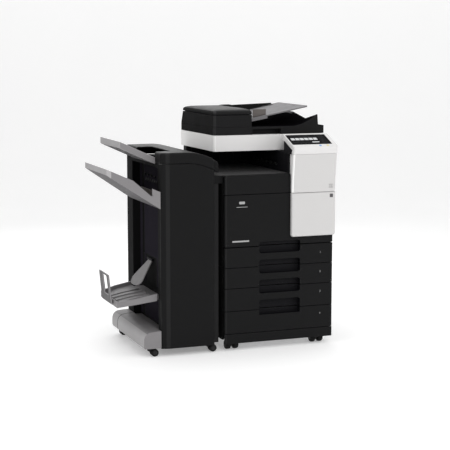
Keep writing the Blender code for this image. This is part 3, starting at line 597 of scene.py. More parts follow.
sc = prism(splay(rect(*SCAN_X, *SCAN_Y, (0.018, 0.018, 0.005, 0.005), 10)), 'Z', *SCAN_Z)
piece("scanner_band", sc, "white", "root", cuts=[box(0.040, 0.500, 0.200, 0.610, 1.0080, 1.10)],
      # painted light: the left face and the rounded left corner take the brighter white
      bevel=0.0022, seg=3, edge="white_edge_highlight", corner="white_painted_light", side="white_painted_light", rep="scanner_housing")
piece("platen_sheet", prism(rect(0.0405, 0.4995, 0.2005, 0.6095, 0.002, 3), 'Z', 1.0600, 1.0640), "platen", "root",
      bevel=0.0005, rep="platen_glass")
piece("platen_scale", merge(*[box(0.0300 + 0.02 * k, 0.0308 + 0.02 * k, 0.1860, 0.1860 + (0.009 if k % 5 == 0 else 0.005), 1.0650, 1.0654)
                              for k in range(24)]), "print_dark", "root", bevel=0)
piece("scan_carriage_body", prism([(0.050, 1.0110), (0.090, 1.0110), (0.090, 1.0300), (0.078, 1.0450),
                                   (0.062, 1.0450), (0.050, 1.0300)], 'Y', 0.2050, 0.6050), "steel", "carriage",
      cuts=[prism([(0.0665, 1.030), (0.0735, 1.030), (0.0770, 1.050), (0.0630, 1.050)], 'Y', 0.225, 0.585)],
      bevel=0.0006, inner="black_deep", rep="scan_carriage")
piece("scan_lamp", turned([(0, 0.001), (0.001, 0.0022), (0.354, 0.0022), (0.355, 0.001)], (0.0700, 0.2275, 1.0330), 'Y', 16),
      "icon", "carriage", bevel=0)

# =====================================================================  engine behind the front door
paint("base_frame", "steel")
paint("engine_shelf", "steel")
piece("drum_body", turned([(0.0, 0.006), (0.018, 0.006), (0.0195, 0.012), (0.0200, 0.0295), (0.0205, 0.030), (0.4695, 0.030),
                           (0.4700, 0.0295), (0.4705, 0.012), (0.472, 0.006), (0.489, 0.006), (0.490, 0.005)],
                          (0.400, 0.080, 0.620), 'Y', 56), "drum", "drum", bevel=0, rep="photoconductor_drum")
piece("drum_flange", turned([(0.0, 0.0285), (0.0004, 0.0292), (0.0020, 0.0292), (0.0024, 0.0285)], (0.400, 0.0972, 0.620), 'Y', 40),
      "toner", "drum", cuts=[merge(*[turned([(-0.01, 0.004), (0.01, 0.004)], (0.400 + 0.018 * math.cos(a), 0.0972, 0.620 + 0.018 * math.sin(a)), 'Y', 16)
                                     for a in [math.radians(60 * k) for k in range(6)]])], bevel=0)
bot = [(0.0, 0.0325), (0.0012, 0.0338), (0.004, 0.0440), (0.0060, 0.045)]
for k in range(11):
    t = 0.022 + 0.028 * k
    bot += [(t, 0.045), (t + 0.003, 0.0432), (t + 0.009, 0.0432), (t + 0.012, 0.045)]
bot += [(0.330, 0.045), (0.345, 0.040), (0.360, 0.030), (0.380, 0.020), (0.40, 0.016), (0.43, 0.016)]
piece("toner_bottle_body", turned(bot, (0.150, 0.070, 0.700), 'Y', 48), "toner", "toner", bevel=0,
      cuts=[box(0.128, 0.172, 0.060, 0.0735, 0.6975, 0.7025)], rep="toner_bottle")
piece("toner_cap_grip", merge(box(0.1320, 0.1680, 0.0685, 0.0735, 0.6985, 0.7015)), "green", "toner", bevel=0.0008)
piece("fuser_body", prism(rect(0.470, 0.560, 0.660, 0.765, 0.010, 5), 'Y', 0.080, 0.600), "steel", "root",
      cuts=[merge(*[box(0.480 + 0.010 * k, 0.484 + 0.010 * k, 0.07, 0.0835, 0.690, 0.735) for k in range(7)])],
      bevel=0.0008, inner="black_deep", rep="fuser_unit")
piece("fuser_lever", prism(rect(0.500, 0.530, 0.672, 0.684, 0.004, 5), 'Y', 0.0700, 0.0797), "green", "root", bevel=0.0012)
piece("toner_chute", prism(rect(0.0900, 0.2100, 0.6360, 0.6530, 0.004, 4), 'Y', 0.060, 0.590), "black_in", "root",
      bevel=0.0010)
piece("engine_ducts", merge(prism(rect(0.030, 0.080, 0.545, 0.640, 0.006, 4), 'Y', 0.070, 0.590),
                            prism(rect(0.250, 0.345, 0.660, 0.760, 0.008, 4), 'Y', 0.075, 0.590),
                            prism(rect(0.120, 0.330, 0.545, 0.620, 0.008, 4), 'Y', 0.080, 0.590)), "black_in", "root",
      cuts=[merge(*[box(0.262 + 0.012 * k, 0.267 + 0.012 * k, 0.07, 0.0790, 0.680, 0.740) for k in range(6)])],
      bevel=0.0012)
piece("engine_levers", merge(prism(rect(0.275, 0.320, 0.640, 0.653, 0.005, 5), 'Y', 0.062, 0.076),
                             prism(rect(0.440, 0.460, 0.570, 0.600, 0.005, 5), 'Y', 0.062, 0.076)), "green", "root",
      bevel=0.0012)
piece("engine_back_plate", box(0.0135, 0.5715, 0.6100, 0.6120, 0.5330, 0.8360), "steel", "root", bevel=0.0003)

# =====================================================================  front door
finger = prism(rect(*HAND_X, 0.50, HAND[1][1], (0, 0, 0.012, 0.012), 8), 'Y', -0.02, 0.024)
door_bm = prism(front_plan(0.030), 'Z', 0.5243, 0.7826)
piece("front_door_shell", door_bm, "black", "front_door",
      cuts=[finger, box(0.0300, 0.5550, 0.0240, 0.040, 0.5560, 0.7650)],
      # painted highlight on the rounded left corner; painted shade on the finger recess faces
      bevel=0.0017, seg=3, edge="black_rim", corner="black_painted_light", where=[("black_in", in_recess)], rep="front_door")
panel_plate = prism(rect(COL_X[0], COL_X[1], 0.5625, 0.7830, (0.011, 0.011, 0, 0), 8), 'Y', -0.0003, -0.0200)
round_edges(panel_plate, lambda c: c.y < -0.0199, 0.0075, 6)
piece("front_door_white_panel", panel_plate, "white_col", "front_door", bevel=0.0006, limit=50, edge="white_edge_highlight",
      rep="front_door_panel")
piece("door_liner_ribs", merge(*[box(0.060 + 0.07 * k, 0.0625 + 0.07 * k, 0.0243, 0.0290, 0.570, 0.750) for k in range(7)]),
      "black_in", "front_door", bevel=0.0004)
# plain plates, no mark
piece("door_emblem", prism(rect(0.0740, 0.1040, 0.7370, 0.7500, 0.0040, 5), 'Y', -0.0009, -0.0001), "print", "front_door",
      bevel=0.0003)
piece("door_emblem_bar", prism(rect(0.0600, 0.1180, 0.7212, 0.7236, 0.0010, 4), 'Y', -0.0006, -0.0001), "print", "front_door",
      bevel=0.0)
piece("door_badge", prism(rect(0.0380, 0.1270, 0.5478, 0.5556, 0.0020, 4), 'Y', -0.0007, -0.0001), "print", "front_door",
      bevel=0.0002)

# =====================================================================  drawers
for k in (1, 2, 3, 4):
    z0 = SEAM[4 - k] + 0.0012
    z1 = SEAM[5 - k] - 0.0012
    r = 0.004 if k == 4 else 0.012
    hz = HAND[k][0]
    cuts = [prism(rect(*HAND_X, hz, z1 + 0.03, (r, r, 0, 0), 8), 'Y', -0.02, HAND_D)]
    if k < 4:
        cuts.append(prism(rect(*HAND_X, z0 - 0.03, HAND[k + 1][1], (0, 0, 0.012, 0.012), 8), 'Y', -0.02, HAND_D))
    piece("drawer_%d_face" % k, prism(front_plan(0.040), 'Z', z0, z1), "black", "drawer_%d" % k, cuts=cuts,
          # painted highlight on the rounded left corner; painted shade on the finger recess faces
          bevel=0.0017, seg=3, edge="black_rim", corner="black_painted_light", where=[("black_in", in_recess)], rep="drawer_%d_front" % k)
    # tray: walls with a folded rim, a metal lift plate and guides
    t0, t1 = z0 + 0.008, z1 - 0.014
    bm = bmesh.new()
    prof = [(0, t0), (0, t1), (0.004, t1), (0.004, t0 + 0.004)]
    rows = []
    for d, z in prof:
        rows.append([bm.verts.new(p) for p in ((0.022 + d, 0.0403 + d, z), (0.563 - d, 0.0403 + d, z),
                                               (0.563 - d, 0.600 - d, z), (0.022 + d, 0.600 - d, z))])
    for a, b in zip(rows, rows[1:]):
        for i in range(4):
            bm.faces.new((a[i], a[(i + 1) % 4], b[(i + 1) % 4], b[i]))
    bm.faces.new(rows[0])
    bm.faces.new(rows[-1])
    bmesh.ops.recalc_face_normals(bm, faces=bm.faces[:])
    piece("drawer_%d_bin" % k, bm, "bin", "drawer_%d" % k, bevel=0.0008, rep="drawer_%d_tray" % k)
    piece("drawer_%d_lift_plate" % k, prism([(x, y) for x, y in rect(0.060, 0.520, 0.070, 0.500, 0.004, 3)], 'Z', t0 + 0.0055, t0 + 0.0070),
          "steel", "drawer_%d" % k,
          cuts=[prism(rect(0.240, 0.340, 0.100, 0.190, 0.006, 4), 'Z', t0, t0 + 0.02), prism(rect(0.180, 0.225, 0.380, 0.520, 0.006, 4), 'Z', t0, t0 + 0.02),
                prism(rect(0.355, 0.400, 0.380, 0.520, 0.006, 4), 'Z', t0, t0 + 0.02)], bevel=0.0003)
    gh = min(0.055, t1 - t0 - 0.010)
    piece("drawer_%d_guides" % k, merge(box(0.120, 0.260, 0.085, 0.090, t0 + 0.0072, t0 + gh), box(0.120, 0.260, 0.482, 0.487, t0 + 0.0072, t0 + gh),
                                        box(0.085, 0.090, 0.240, 0.340, t0 + 0.0072, t0 + gh)),
          "green" if k == 1 else "black_in", "drawer_%d" % k, bevel=0.0010)
    # slide rails under the rim
    piece("drawer_%d_rails" % k, merge(box(0.0145, 0.0217, 0.060, 0.590, t0 + 0.012, t0 + 0.022), box(0.5633, 0.5705, 0.060, 0.590, t0 + 0.012, t0 + 0.022)),
          "steel", "drawer_%d" % k, bevel=0.0008)

# drawer numbers, raised print on the fronts
for k, z in ((1, 0.4749), (2, 0.3760), (3, 0.2738), (4, 0.1600)):
    cu = bpy.data.curves.new("number_%d" % k, 'FONT')
    cu.body = str(k)
    cu.size = 0.0135
    cu.extrude = 0.0001
    cu.align_x = 'CENTER'
    cu.align_y = 'CENTER'
    t = bpy.data.objects.new("tmp_number_%d" % k, cu)
    scene.collection.objects.link(t)
    t.rotation_euler = (math.radians(90), 0, 0)
    t.location = (0.5140 + OX, -0.0001 + OY, z)
    bpy.context.view_layer.update()
    me = bpy.data.meshes.new_from_object(t.evaluated_get(bpy.context.evaluated_depsgraph_get()))
    me.transform(t.matrix_world)
    bpy.data.objects.remove(t, do_unlink=True)
    ob = bpy.data.objects.new("drawer_%d_number" % k, me)
    scene.collection.objects.link(ob)
    me.materials.clear()
    me.materials.append(M["print"])
    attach(ob, "drawer_%d" % k)

# pale corner mark of the column and the square button of the door panel
piece("column_mark", merge(*[prism(rect(x, x + 0.0085, z, z + 0.0085, 0.0012, 3), 'Y', -0.0232, -0.0212)
                             for x, z in ((0.5490, 0.8030), (0.5605, 0.8030), (0.5490, 0.8145), (0.5605, 0.8145))]),
      "print_pale", "root", bevel=0)
piece("door_panel_window", prism(rect(0.5540, 0.5720, 0.7550, 0.7730, 0.0025, 4), 'Y', -0.0206, -0.0198), "print_dark", "front_door",
      bevel=0.0003)

# =====================================================================  control panel
PT = math.radians(22.05)
ct, st = math.cos(PT), math.sin(PT)
PTOP, PLEN, PTH = (-0.045, 1.0143), 0.1510, 0.0220


def on_panel(u, h):
    return (PTOP[0] + u * ct - h * st, PTOP[1] + u * st + h * ct)


def slope_plate(x0, x1, u0, u1, h0, h1, r=0.0, seg=6):
    ring = rect(x0, x1, u0, u1, r, seg)
    return loft([[(x, *on_panel(u, h)) for x, u in ring] for h in (h0, h1)])


lip = smooth_line([on_panel(0.0045, 0.0), (-0.0437, 1.0131), (-0.0460, 1.0062), (-0.0453, 0.9955), (-0.0425, 0.9860), (-0.0388, 0.9773)], 16)
outline = [on_panel(PLEN, -PTH), on_panel(PLEN, -0.004), on_panel(PLEN - 0.0012, -0.0012), on_panel(PLEN - 0.004, 0.0)] + \
    lip + [(-0.0170, 0.9773), (-0.0240, 0.9990)]
pan = prism(outline, 'X', 0.336, 0.587)
for xe in (0.336, 0.587):
    round_edges(pan, lambda c, xe=xe: abs(c.x - xe) < 1e-5 and c.z - PTOP[1] > (c.y - PTOP[0]) * st / ct - 0.0040, 0.0030, 3)


def plan_mask(xl, xr, yf, r):
    """Everything outside a plan with soft front corners."""
    ring = [(xl - 0.05, yf - 0.05), (xr + 0.05, yf - 0.05), (xr + 0.05, 0.20), (xr, 0.20)]
    ring += [(xr, yf + r)] + [(xr - r + r * math.cos(math.radians(a)), yf + r - r * math.sin(math.radians(a))) for a in range(10, 91, 10)]
    ring += [(xl + r - r * math.sin(math.radians(a)), yf + r - r * math.cos(math.radians(a))) for a in range(0, 91, 10)]
    ring += [(xl - 0.002, 0.075), (xl - 0.0085, 0.20), (xl - 0.05, 0.20)]
    return prism(ring, 'Z', 0.90, 1.12)


bores = [loft([[(x + 0.0068 * math.cos(2 * math.pi * i / 32), *on_panel(0.0118 + 0.0068 * math.sin(2 * math.pi * i / 32), h))
                for i in range(32)] for h in (-0.0070, 0.01)]) for x in (0.4937, 0.5340)]
piece("control_panel_shell", pan, "white", "panel",
      cuts=[plan_mask(0.3455, 0.5868, -0.0462, 0.013), slope_plate(0.3499, 0.5650, 0.0262, 0.1358, -0.0030, 0.02, 0.0022, 4)] + bores,
      bevel=0.0008, limit=34, edge="white_edge_highlight", rep="control_panel")
piece("panel_underside", prism([on_panel(0.030, -PTH - 0.0002), on_panel(0.118, -PTH - 0.0002), on_panel(0.112, -PTH - 0.0045),
                                on_panel(0.036, -PTH - 0.0045)], 'X', 0.3400, 0.3442), "black_in", "panel", bevel=0.0008)
piece("touch_glass", slope_plate(0.3503, 0.5646, 0.0266, 0.1354, -0.0022, 0.0003, 0.0020, 5), "glass", "panel",
      bevel=0.0004, rep="touch_screen")
# generic screen content: plain tiles, no text
tiles = [slope_plate(0.3635 + 0.0243 * k, 0.3635 + 0.0243 * k + 0.0205, 0.0755, 0.0985, 0.00034, 0.00050, 0.0018, 4) for k in range(6)]
tiles.append(slope_plate(0.4660, 0.5040, 0.0470, 0.0560, 0.00034, 0.00050, 0.0018, 4))
piece("screen_tiles", merge(*tiles), "icon", "panel", bevel=0)
dim = [slope_plate(0.3635 + 0.0243 * k, 0.3635 + 0.0243 * k + 0.0205, 0.1050, 0.1240, 0.00034, 0.00046, 0.0018, 4) for k in range(6)]
dim += [slope_plate(0.3620 + 0.0333 * k, 0.3620 + 0.0333 * k + 0.0290, 0.0460, 0.0570, 0.00034, 0.00046, 0.0018, 4) for k in range(3)]
dim += [slope_plate(0.5180, 0.5480, 0.0340 + 0.0165 * k, 0.0340 + 0.0165 * k + 0.0125, 0.00034, 0.00046, 0.0018, 4) for k in range(6)]
piece("screen_tiles_dim", merge(*dim), "icon_dim", "panel", bevel=0)
for nm, x, mt, sl in (("start_key", 0.4937, "blue", "key_blue"), ("stop_key", 0.5340, "amber", "key_amber")):
    rings = [(0.0062, -0.0040), (0.0062, 0.0005), (0.0060, 0.0010), (0.0055, 0.0014), (0.0047, 0.0016), (0.0032, 0.0015), (0.0012, 0.00145)]
    cap = loft([[(x + r * math.cos(2 * math.pi * i / 36), *on_panel(0.0118 + r * math.sin(2 * math.pi * i / 36), h)) for i in range(36)]
                for r, h in rings])
    piece(nm + "_cap", cap, mt, nm, bevel=0, rep=nm)

# =====================================================================  right side: jam door and bypass tray
piece("right_door_shell", prism(rect(0.5735, 0.600, 0.050, 0.6455, (0, 0.010, 0.004, 0), 6), 'Z', 0.5000, 0.8720), "black", "right_door",
      cuts=[box(0.5840, 0.62, 0.1300, 0.5000, 0.5960, 0.8010),
            prism(rect(0.0650, 0.1120, 0.690, 0.790, 0.008), 'X', 0.5900, 0.62),
            box(0.5985, 0.62, 0.04, 0.66, 0.8300, 0.8316), box(0.5985, 0.62, 0.5300, 0.5316, 0.490, 0.8292),
            merge(*[box(0.5970, 0.62, 0.550, 0.625, 0.540 + 0.0105 * k, 0.5450 + 0.0105 * k) for k in range(12)])],
      bevel=0.0012, seg=3, edge="black_edge_highlight", rep="right_door")
piece("right_door_latch", prism(rect(0.0700, 0.1070, 0.7420, 0.7800, 0.005, 5), 'X', 0.5902, 0.5950), "black_in", "right_door",
      bevel=0.0014, seg=3)
piece("bypass_tray_panel", prism(rect(0.1305, 0.4995, 0.6005, 0.8000, (0.003, 0.003, 0.006, 0.006), 5), 'X', 0.5875, 0.5995), "black", "bypass",
      cuts=[prism(rect(0.250, 0.380, 0.778, 0.82, (0.010, 0.010, 0, 0)), 'X', 0.5935, 0.62),
            merge(*[box(0.58, 0.5895, 0.150 + 0.033 * k, 0.158 + 0.033 * k, 0.620, 0.770) for k in range(10)])],
      bevel=0.0012, seg=3, edge="black_edge_highlight", rep="bypass_tray")

# =====================================================================  document feeder
AX, AY = (0.0010, 0.603), (0.1655, 0.6550)
WALL = [(0.1655, 1.1620), (0.3110, 1.1330), (0.4770, 1.1600), (0.6550, 1.1620)]


def exit_height(x, y):
    top = WALL[-1][1]
    for (ya, za), (yb, zb) in zip(WALL, WALL[1:]):
        if y <= yb + 1e-9:
            f = (y - ya) / (yb - ya)
            top = za + (zb - za) * f
            break
    t = min(max((x - 0.420) / 0.140, 0.0), 1.0)
    return 1.1050 + (top - 1.1050) * t * t


# air above the exit tray, taken out of a rounded block
xs = [-0.05, 0.2045, 0.2046, 0.300, 0.400] + [0.420 + 0.01 * k for k in range(15)] + [0.5640, 0.5660, 0.5700, 0.66]
ys = [0.10, 0.1655, 0.190, 0.215, 0.240, 0.265, 0.290, 0.302, 0.311, 0.320, 0.335, 0.360, 0.390, 0.420, 0.450, 0.466, 0.477,
      0.490, 0.520, 0.565, 0.610, 0.655, 0.72]


def air_z(x, y):
    yy = min(max(y, 0.1655), 0.6550)
    if x <= 0.2045:
        return 1.1050
    if x <= 0.5601:
        return exit_height(min(x, 0.560), yy)
    if x <= 0.5641:
        return exit_height(0.560, yy) + 0.0004
    if x <= 0.5661:
        return exit_height(0.560, yy) - 0.0010
    return 1.1062 if x <= 0.5701 else 1.1050


bm = bmesh.new()
lows = [[bm.verts.new((x, y, air_z(x, y))) for y in ys] for x in xs]
highs = [[bm.verts.new((x, y, 1.25)) for y in ys] for x in xs]
for i in range(len(xs) - 1):
    for j in range(len(ys) - 1):
        bm.faces.new((lows[i][j], lows[i + 1][j], lows[i + 1][j + 1], lows[i][j + 1]))
        bm.faces.new((highs[i][j], highs[i][j + 1], highs[i + 1][j + 1], highs[i + 1][j]))
    bm.faces.new((lows[i][0], highs[i][0], highs[i + 1][0], lows[i + 1][0]))
    bm.faces.new((lows[i][-1], lows[i + 1][-1], highs[i + 1][-1], highs[i][-1]))
for j in range(len(ys) - 1):
    bm.faces.new((lows[0][j], lows[0][j + 1], highs[0][j + 1], highs[0][j]))
    bm.faces.new((lows[-1][j], highs[-1][j], highs[-1][j + 1], lows[-1][j + 1]))
bmesh.ops.recalc_face_normals(bm, faces=bm.faces[:])
piece("feeder_base", prism(splay(rect(*AX, *AY, (0.018, 0.006, 0.006, 0.005), 10)), 'Z', 1.0662, 1.1700), "black_top", "feeder",
      cuts=[bm, box(0.208, 0.364, 0.10, 0.205, 1.00, 1.0935),
            merge(*[box(0.230, 0.415, 0.255 + 0.050 * k, 0.2575 + 0.050 * k, 1.1040, 1.12) for k in range(7)])],
      # painted highlight on the rounded left corner; painted light on the left faces and the sloped exit walls; painted
      # shade on the exit tray floor under the input tray
      bevel=0.0012, seg=3, limit=35, edge="black_edge_highlight", corner="black_painted_highlight",
      side="black_side_painted_light", where=[("black_painted_shade", lambda c, nr: nr.z > 0.80 and c.x > 0.206 and c.z > 1.10), ("black_wall_painted_light", lambda c, nr: 0.10 < nr.z < 0.80 and c.x > 0.206 and c.z > 1.108)], rep="adf_base")
piece("feeder_rear_wall", prism([(0.2050, 1.1040), (0.5580, 1.1040), (0.5580, 1.1520), (0.5300, 1.1570), (0.4800, 1.1600), (0.2050, 1.1640)],
                                'Y', 0.6120, 0.6520), "black_top", "feeder", bevel=0.0018, seg=3, edge="black_edge_highlight")
piece("tray_hinge_block", prism([(0.2062, 1.1500), (0.2700, 1.1500), (0.2700, 1.1940), (0.2560, 1.1968), (0.2150, 1.1962), (0.2062, 1.1945)], 'Y', 0.6125, 0.6500),
      "black_top", "feeder", bevel=0.0025, seg=3, edge="black_edge_highlight")
piece("feeder_backing", prism(rect(0.052, 0.488, 0.212, 0.598, 0.003, 4), 'Z', 1.0644, 1.0660), "foam", "feeder", bevel=0.0004)
piece("feeder_hinges", merge(prism(rect(0.070, 0.120, 1.0750, 1.0980, 0.004, 4), 'Y', 0.6552, 0.6575),
                             prism(rect(0.470, 0.520, 1.0750, 1.0980, 0.004, 4), 'Y', 0.6552, 0.6575)), "black_in", "feeder",
      bevel=0.0008)
flank = rect(AX[0], 0.2045, *AY, (0.018, 0.0015, 0.0015, 0.005), 10)
piece("feeder_body", loft([[(x, y, 1.1053) for x, y in splay(flank)], [(x, y, 1.1655) for x, y in flank]]), "black_top", "feeder",
      cuts=[box(0.090, 0.180, 0.220, 0.600, 1.1300, 1.20), box(0.150, 0.25, 0.230, 0.590, 1.1480, 1.1580)],
      # painted highlight on the rounded left corner; painted light on the left faces
      bevel=0.0016, seg=3, edge="black_rim", side="black_side_painted_light", corner="black_painted_highlight", rep="adf_feed_body")


def cover_loop(iy, ix0, ix1, z, r):
    return [(x, y, z) for x, y in rect(AX[0] + ix0, 0.2045 - ix1, AY[0] + iy, AY[1] - iy, (r, 0.002, 0.002, 0.006), 10)]


crown = smooth_line([(0.0, 0.0, 0.0, 1.1712, 0.018), (0.0, 0.0, 0.0, 1.1770, 0.018), (0.0020, 0.0020, 0.0010, 1.1815, 0.018),
                     (0.0060, 0.0055, 0.0025, 1.1855, 0.018), (0.0150, 0.0130, 0.0055, 1.1898, 0.017),
                     (0.0340, 0.0280, 0.0110, 1.1932, 0.014), (0.0600, 0.0500, 0.0200, 1.1955, 0.010)], 26)
loops = [cover_loop(0.0060, 0.0060, 0.0006, 1.1672, 0.014), cover_loop(0.0060, 0.0060, 0.0006, 1.1692, 0.014), cover_loop(0.0004, 0.0004, 0.0004, 1.1700, 0.018)] + \
    [cover_loop(*c) for c in crown]
piece("feed_cover_shell", loft(loops), "black_top", "feed_cover", bevel=0.0, smooth=50,
      # painted highlight on the rounded left corner; painted light on the left faces
      cuts=[prism(rect(0.085, 0.185, 1.150, 1.1735, 0.004, 5), 'Y', 0.230, 0.590)], inner="black_in", side="black_side_painted_light", corner="black_painted_highlight",
      rep="adf_feed_cover")

prof = [(0.0, 0.004), (0.058, 0.004)]
for a in (0.060, 0.160, 0.260):
    prof += [(a, 0.0100), (a + 0.0012, 0.011), (a + 0.0388, 0.011), (a + 0.040, 0.0100), (a + 0.0401, 0.004)]
prof += [(0.36, 0.004)]
piece("feed_roller_body", turned(prof, (0.135, 0.230, 1.150), 'Y', 36), "rubber", "feed_roller", bevel=0, rep="adf_feed_roller")

TT = ((0.2085, 1.1450), (0.5300, 1.2055))


def tray_z(x):
    (xa, za), (xb, zb) = TT
    return za + (zb - za) * (x - xa) / (xb - xa)


tr = prism([(0.2085, 1.1280), (0.3030, 1.1450), (0.3030, 1.1560), (0.5270, 1.1985), (0.5300, 1.2010), TT[1], TT[0]], 'Y', 0.200, 0.600)
grooves = [prism([(0.225, tray_z(0.225) - 0.0008), (0.515, tray_z(0.515) - 0.0008), (0.515, tray_z(0.515) + 0.02), (0.225, tray_z(0.225) + 0.02)],
                 'Y', y - 0.0011, y + 0.0011) for y in (0.262, 0.300, 0.338, 0.400, 0.462, 0.500, 0.538)]
corner = [prism([(0.540, 0.190), (0.500, 0.190), (0.512, 0.200)] + [(0.512 + 0.018 * math.sin(math.radians(a)), 0.218 - 0.018 * math.cos(math.radians(a))) for a in range(0, 91, 15)] + [(0.540, 0.218)], 'Z', 1.10, 1.25),
          prism([(0.540, 0.610), (0.500, 0.610), (0.512, 0.600)] + [(0.512 + 0.018 * math.sin(math.radians(a)), 0.582 + 0.018 * math.cos(math.radians(a))) for a in range(0, 91, 15)] + [(0.540, 0.582)], 'Z', 1.10, 1.25)]
# painted highlight: the bevels take the lighter tray grey
piece("input_tray_panel", tr, "grey_feed", "input_tray", cuts=[merge(*grooves)] + corner, bevel=0.0010, edge="grey", rep="adf_input_tray")


def guide(nm, body, x0, x1, top0, top1, y, side, mat, rep):
    def loop(x, top):
        z = tray_z(x) + 0.0004
        return [(x, y, z), (x, y + side * 0.030, z), (x, y + side * 0.030, z + 0.002),
                (x, y + side * 0.0045, z + 0.002), (x, y + side * 0.004, z + 0.0030), (x, y + side * 0.004, top), (x, y, top)]
    piece(nm, loft([loop(x0, top0), loop(x1, top1)]), mat, body, bevel=0.0009, seg=3, rep=rep)


guide("guide_front_plate", "guide_front", 0.230, 0.301, 1.1900, 1.1905, 0.215, 1, "taupe", "adf_guide_front")
guide("guide_rear_plate", "guide_rear", 0.238, 0.480, 1.1960, 1.2040, 0.585, -1, "black", "adf_guide_rear")

# =====================================================================  casters of the main unit
def wheel(nm, body, rep, r, centre, axis, hin, hout):
    e = 0.004
    prof = [(-hout, r * 0.45), (-hout, r * 0.80), (-hout + 0.0006, r * 0.86)]
    for s, (a, b) in enumerate(((-hout, -hin), (hin, hout))):
        if s == 1:
            prof += [(-hin, r * 0.80), (-hin + 0.0001, 0.0060 if r > 0.02 else 0.0046), (hin - 0.0001, 0.0060 if r > 0.02 else 0.0046), (hin, r * 0.80)]
        for q in range(7):
            t = q / 6.0
            ang = math.pi * (1 - t)
            w = (b - a) / 2
            prof.append(((a + b) / 2 + (w - 0.0004) * math.cos(ang), r - e + e * math.sin(ang)))
    prof += [(hout - 0.0006, r * 0.86), (hout, r * 0.80), (hout, r * 0.45)]
    piece(nm, turned(prof, centre, axis, 44), "rubber", body, bevel=0, smooth=40, rep=rep)
    hubs = []
    for s in (-1, 1):
        hubs.append(turned([(s * (hout - 0.0010), r * 0.60), (s * (hout + 0.0002), r * 0.60), (s * (hout + 0.0006), r * 0.52),
                            (s * (hout + 0.0004), r * 0.30), (s * (hout + 0.0010), r * 0.24), (s * (hout + 0.0010), r * 0.10)], centre, axis, 32))
    piece(nm + "_hubs", merge(*hubs), "hub", body, bevel=0, smooth=30)


for side, cx in (("left", 0.0530), ("right", 0.5170)):
    piece("caster_fork_%s_body" % side,
          prism([(0.048, 0.0160), (0.068, 0.0160), (0.0760, 0.0240), (0.088, 0.0400), (0.088, 0.0515), (0.050, 0.0515), (0.048, 0.0400)], 'X', cx - 0.0055, cx + 0.0055),
          "hub", "fork_" + side, adds=[turned([(0.0, 0.016), (0.003, 0.021), (0.0080, 0.024)], (cx, 0.070, 0.0515), 'Z', 36)],
          bevel=0.0006, rep="caster_fork_" + side)
    wheel("wheel_front_%s_tyres" % side, "wheel_front_" + side, "caster_wheel_front_" + side, WHEEL_R, (cx, 0.058, WHEEL_R), 'X', 0.0070, 0.0330)
    wheel("wheel_rear_%s_tyres" % side, "wheel_rear_" + side, "caster_wheel_rear_" + side, WHEEL_R, (cx, 0.600, WHEEL_R), 'X', 0.0070, 0.0330)

# =====================================================================  finisher
def bow(x, z):
    return z - 1.76 * max(0.0, x + 0.20) ** 2


def bow_line(z, x0, x1, n=14):
    xs_ = [x0] + [-0.200 + (x1 + 0.200) * k / n for k in range(n)] + [x1]
    return [(x, bow(x, z)) for x in xs_]


FSEAM, LID_T = 0.947, 0.993
fr = prism([(-0.326, 0.0430), (-0.0555, 0.0430)] + bow_line(FSEAM - 0.0015, -0.326, -0.0555)[::-1], 'Y', 0.024, 0.598)
recess = prism(rect(0.062, 0.498, 0.030, 0.925, 0.003, 3), 'X', -0.350, -0.285)
piece("finisher_body", fr, "black_fin", "root",
      cuts=[box(-0.270, -0.075, 0.010, 0.570, 0.120, 0.840), recess, box(-0.200, -0.050, 0.1595, 0.5005, 0.8425, 0.8755),
            merge(box(-0.2900, -0.2815, 0.112, 0.138, 0.450, 0.800), box(-0.2900, -0.2815, 0.422, 0.448, 0.450, 0.800)),
            merge(*[box(-0.30 + 0.0125 * k, -0.2935 + 0.0125 * k, 0.590, 0.61, 0.560, 0.660) for k in range(16)]),
            box(-0.34, -0.04, 0.5965, 0.61, 0.4990, 0.5006)],
      adds=[box(-0.0560, -0.0240, 0.0300, 0.5900, 0.0450, 0.8395)],
      # painted light on the left faces and on the front of the strip beside the main unit
      bevel=0.0014, seg=3, edge="black_rim", side="black_side_painted_light",
      where=[("black_painted_light", lambda c, nr: c.x > -0.0558 and nr.y < -0.5)], rep="finisher_frame")
piece("finisher_rear_bracket", prism([(-0.108, 0.0429), (-0.100, 0.0130), (-0.070, 0.0130), (-0.062, 0.0429)], 'Y', 0.5450, 0.5550),
      "steel", "root", cuts=[turned([(-0.03, 0.0052), (0.03, 0.0052)], (-0.085, 0.550, FWHEEL_R), 'Y', 24)], bevel=0.0006)
screws("finisher_rear_screws", [(x, 0.598, z) for x in (-0.312, -0.068) for z in (0.060, 0.480, 0.520, 0.900)], "root", (0, 1, 0))
# vertical ribs on the back wall of the lift recess
ribs = []
for y in (0.074, 0.087, 0.100, 0.150, 0.163, 0.176, 0.189, 0.202, 0.215, 0.228, 0.241, 0.254, 0.267, 0.280, 0.293, 0.306, 0.319,
          0.332, 0.345, 0.358, 0.371, 0.384, 0.397, 0.410, 0.460, 0.473, 0.486):
    ribs.append(box(-0.2880, -0.2848, y, y + 0.0030, 0.455, 0.9245))
    if y < 0.215 or y > 0.388:
        ribs.append(box(-0.2880, -0.2848, y, y + 0.0030, 0.310, 0.4545))
    ribs.append(box(-0.2880, -0.2848, y, y + 0.0030, 0.1300, 0.2600))
piece("recess_ribs", merge(*ribs), "rib", "root", bevel=0.0005)
piece("exit_flap_brush", merge(*[prism([(-0.2900, 0.8420), (-0.2848, 0.8440), (-0.2848, 0.8520), (-0.2930, 0.8350)], 'Y', 0.150 + 0.036 * k, 0.170 + 0.036 * k) for k in range(7)]),
      "black_in", "root", bevel=0.0004)
piece("finisher_exit_rollers", merge(*[turned([(0, 0.002), (0.0012, 0.0060), (0.0188, 0.0060), (0.020, 0.002)], (-0.2880, 0.160 + 0.055 * k, 0.8650), 'Y', 24)
                                       for k in range(5)]), "rubber", "root", bevel=0)

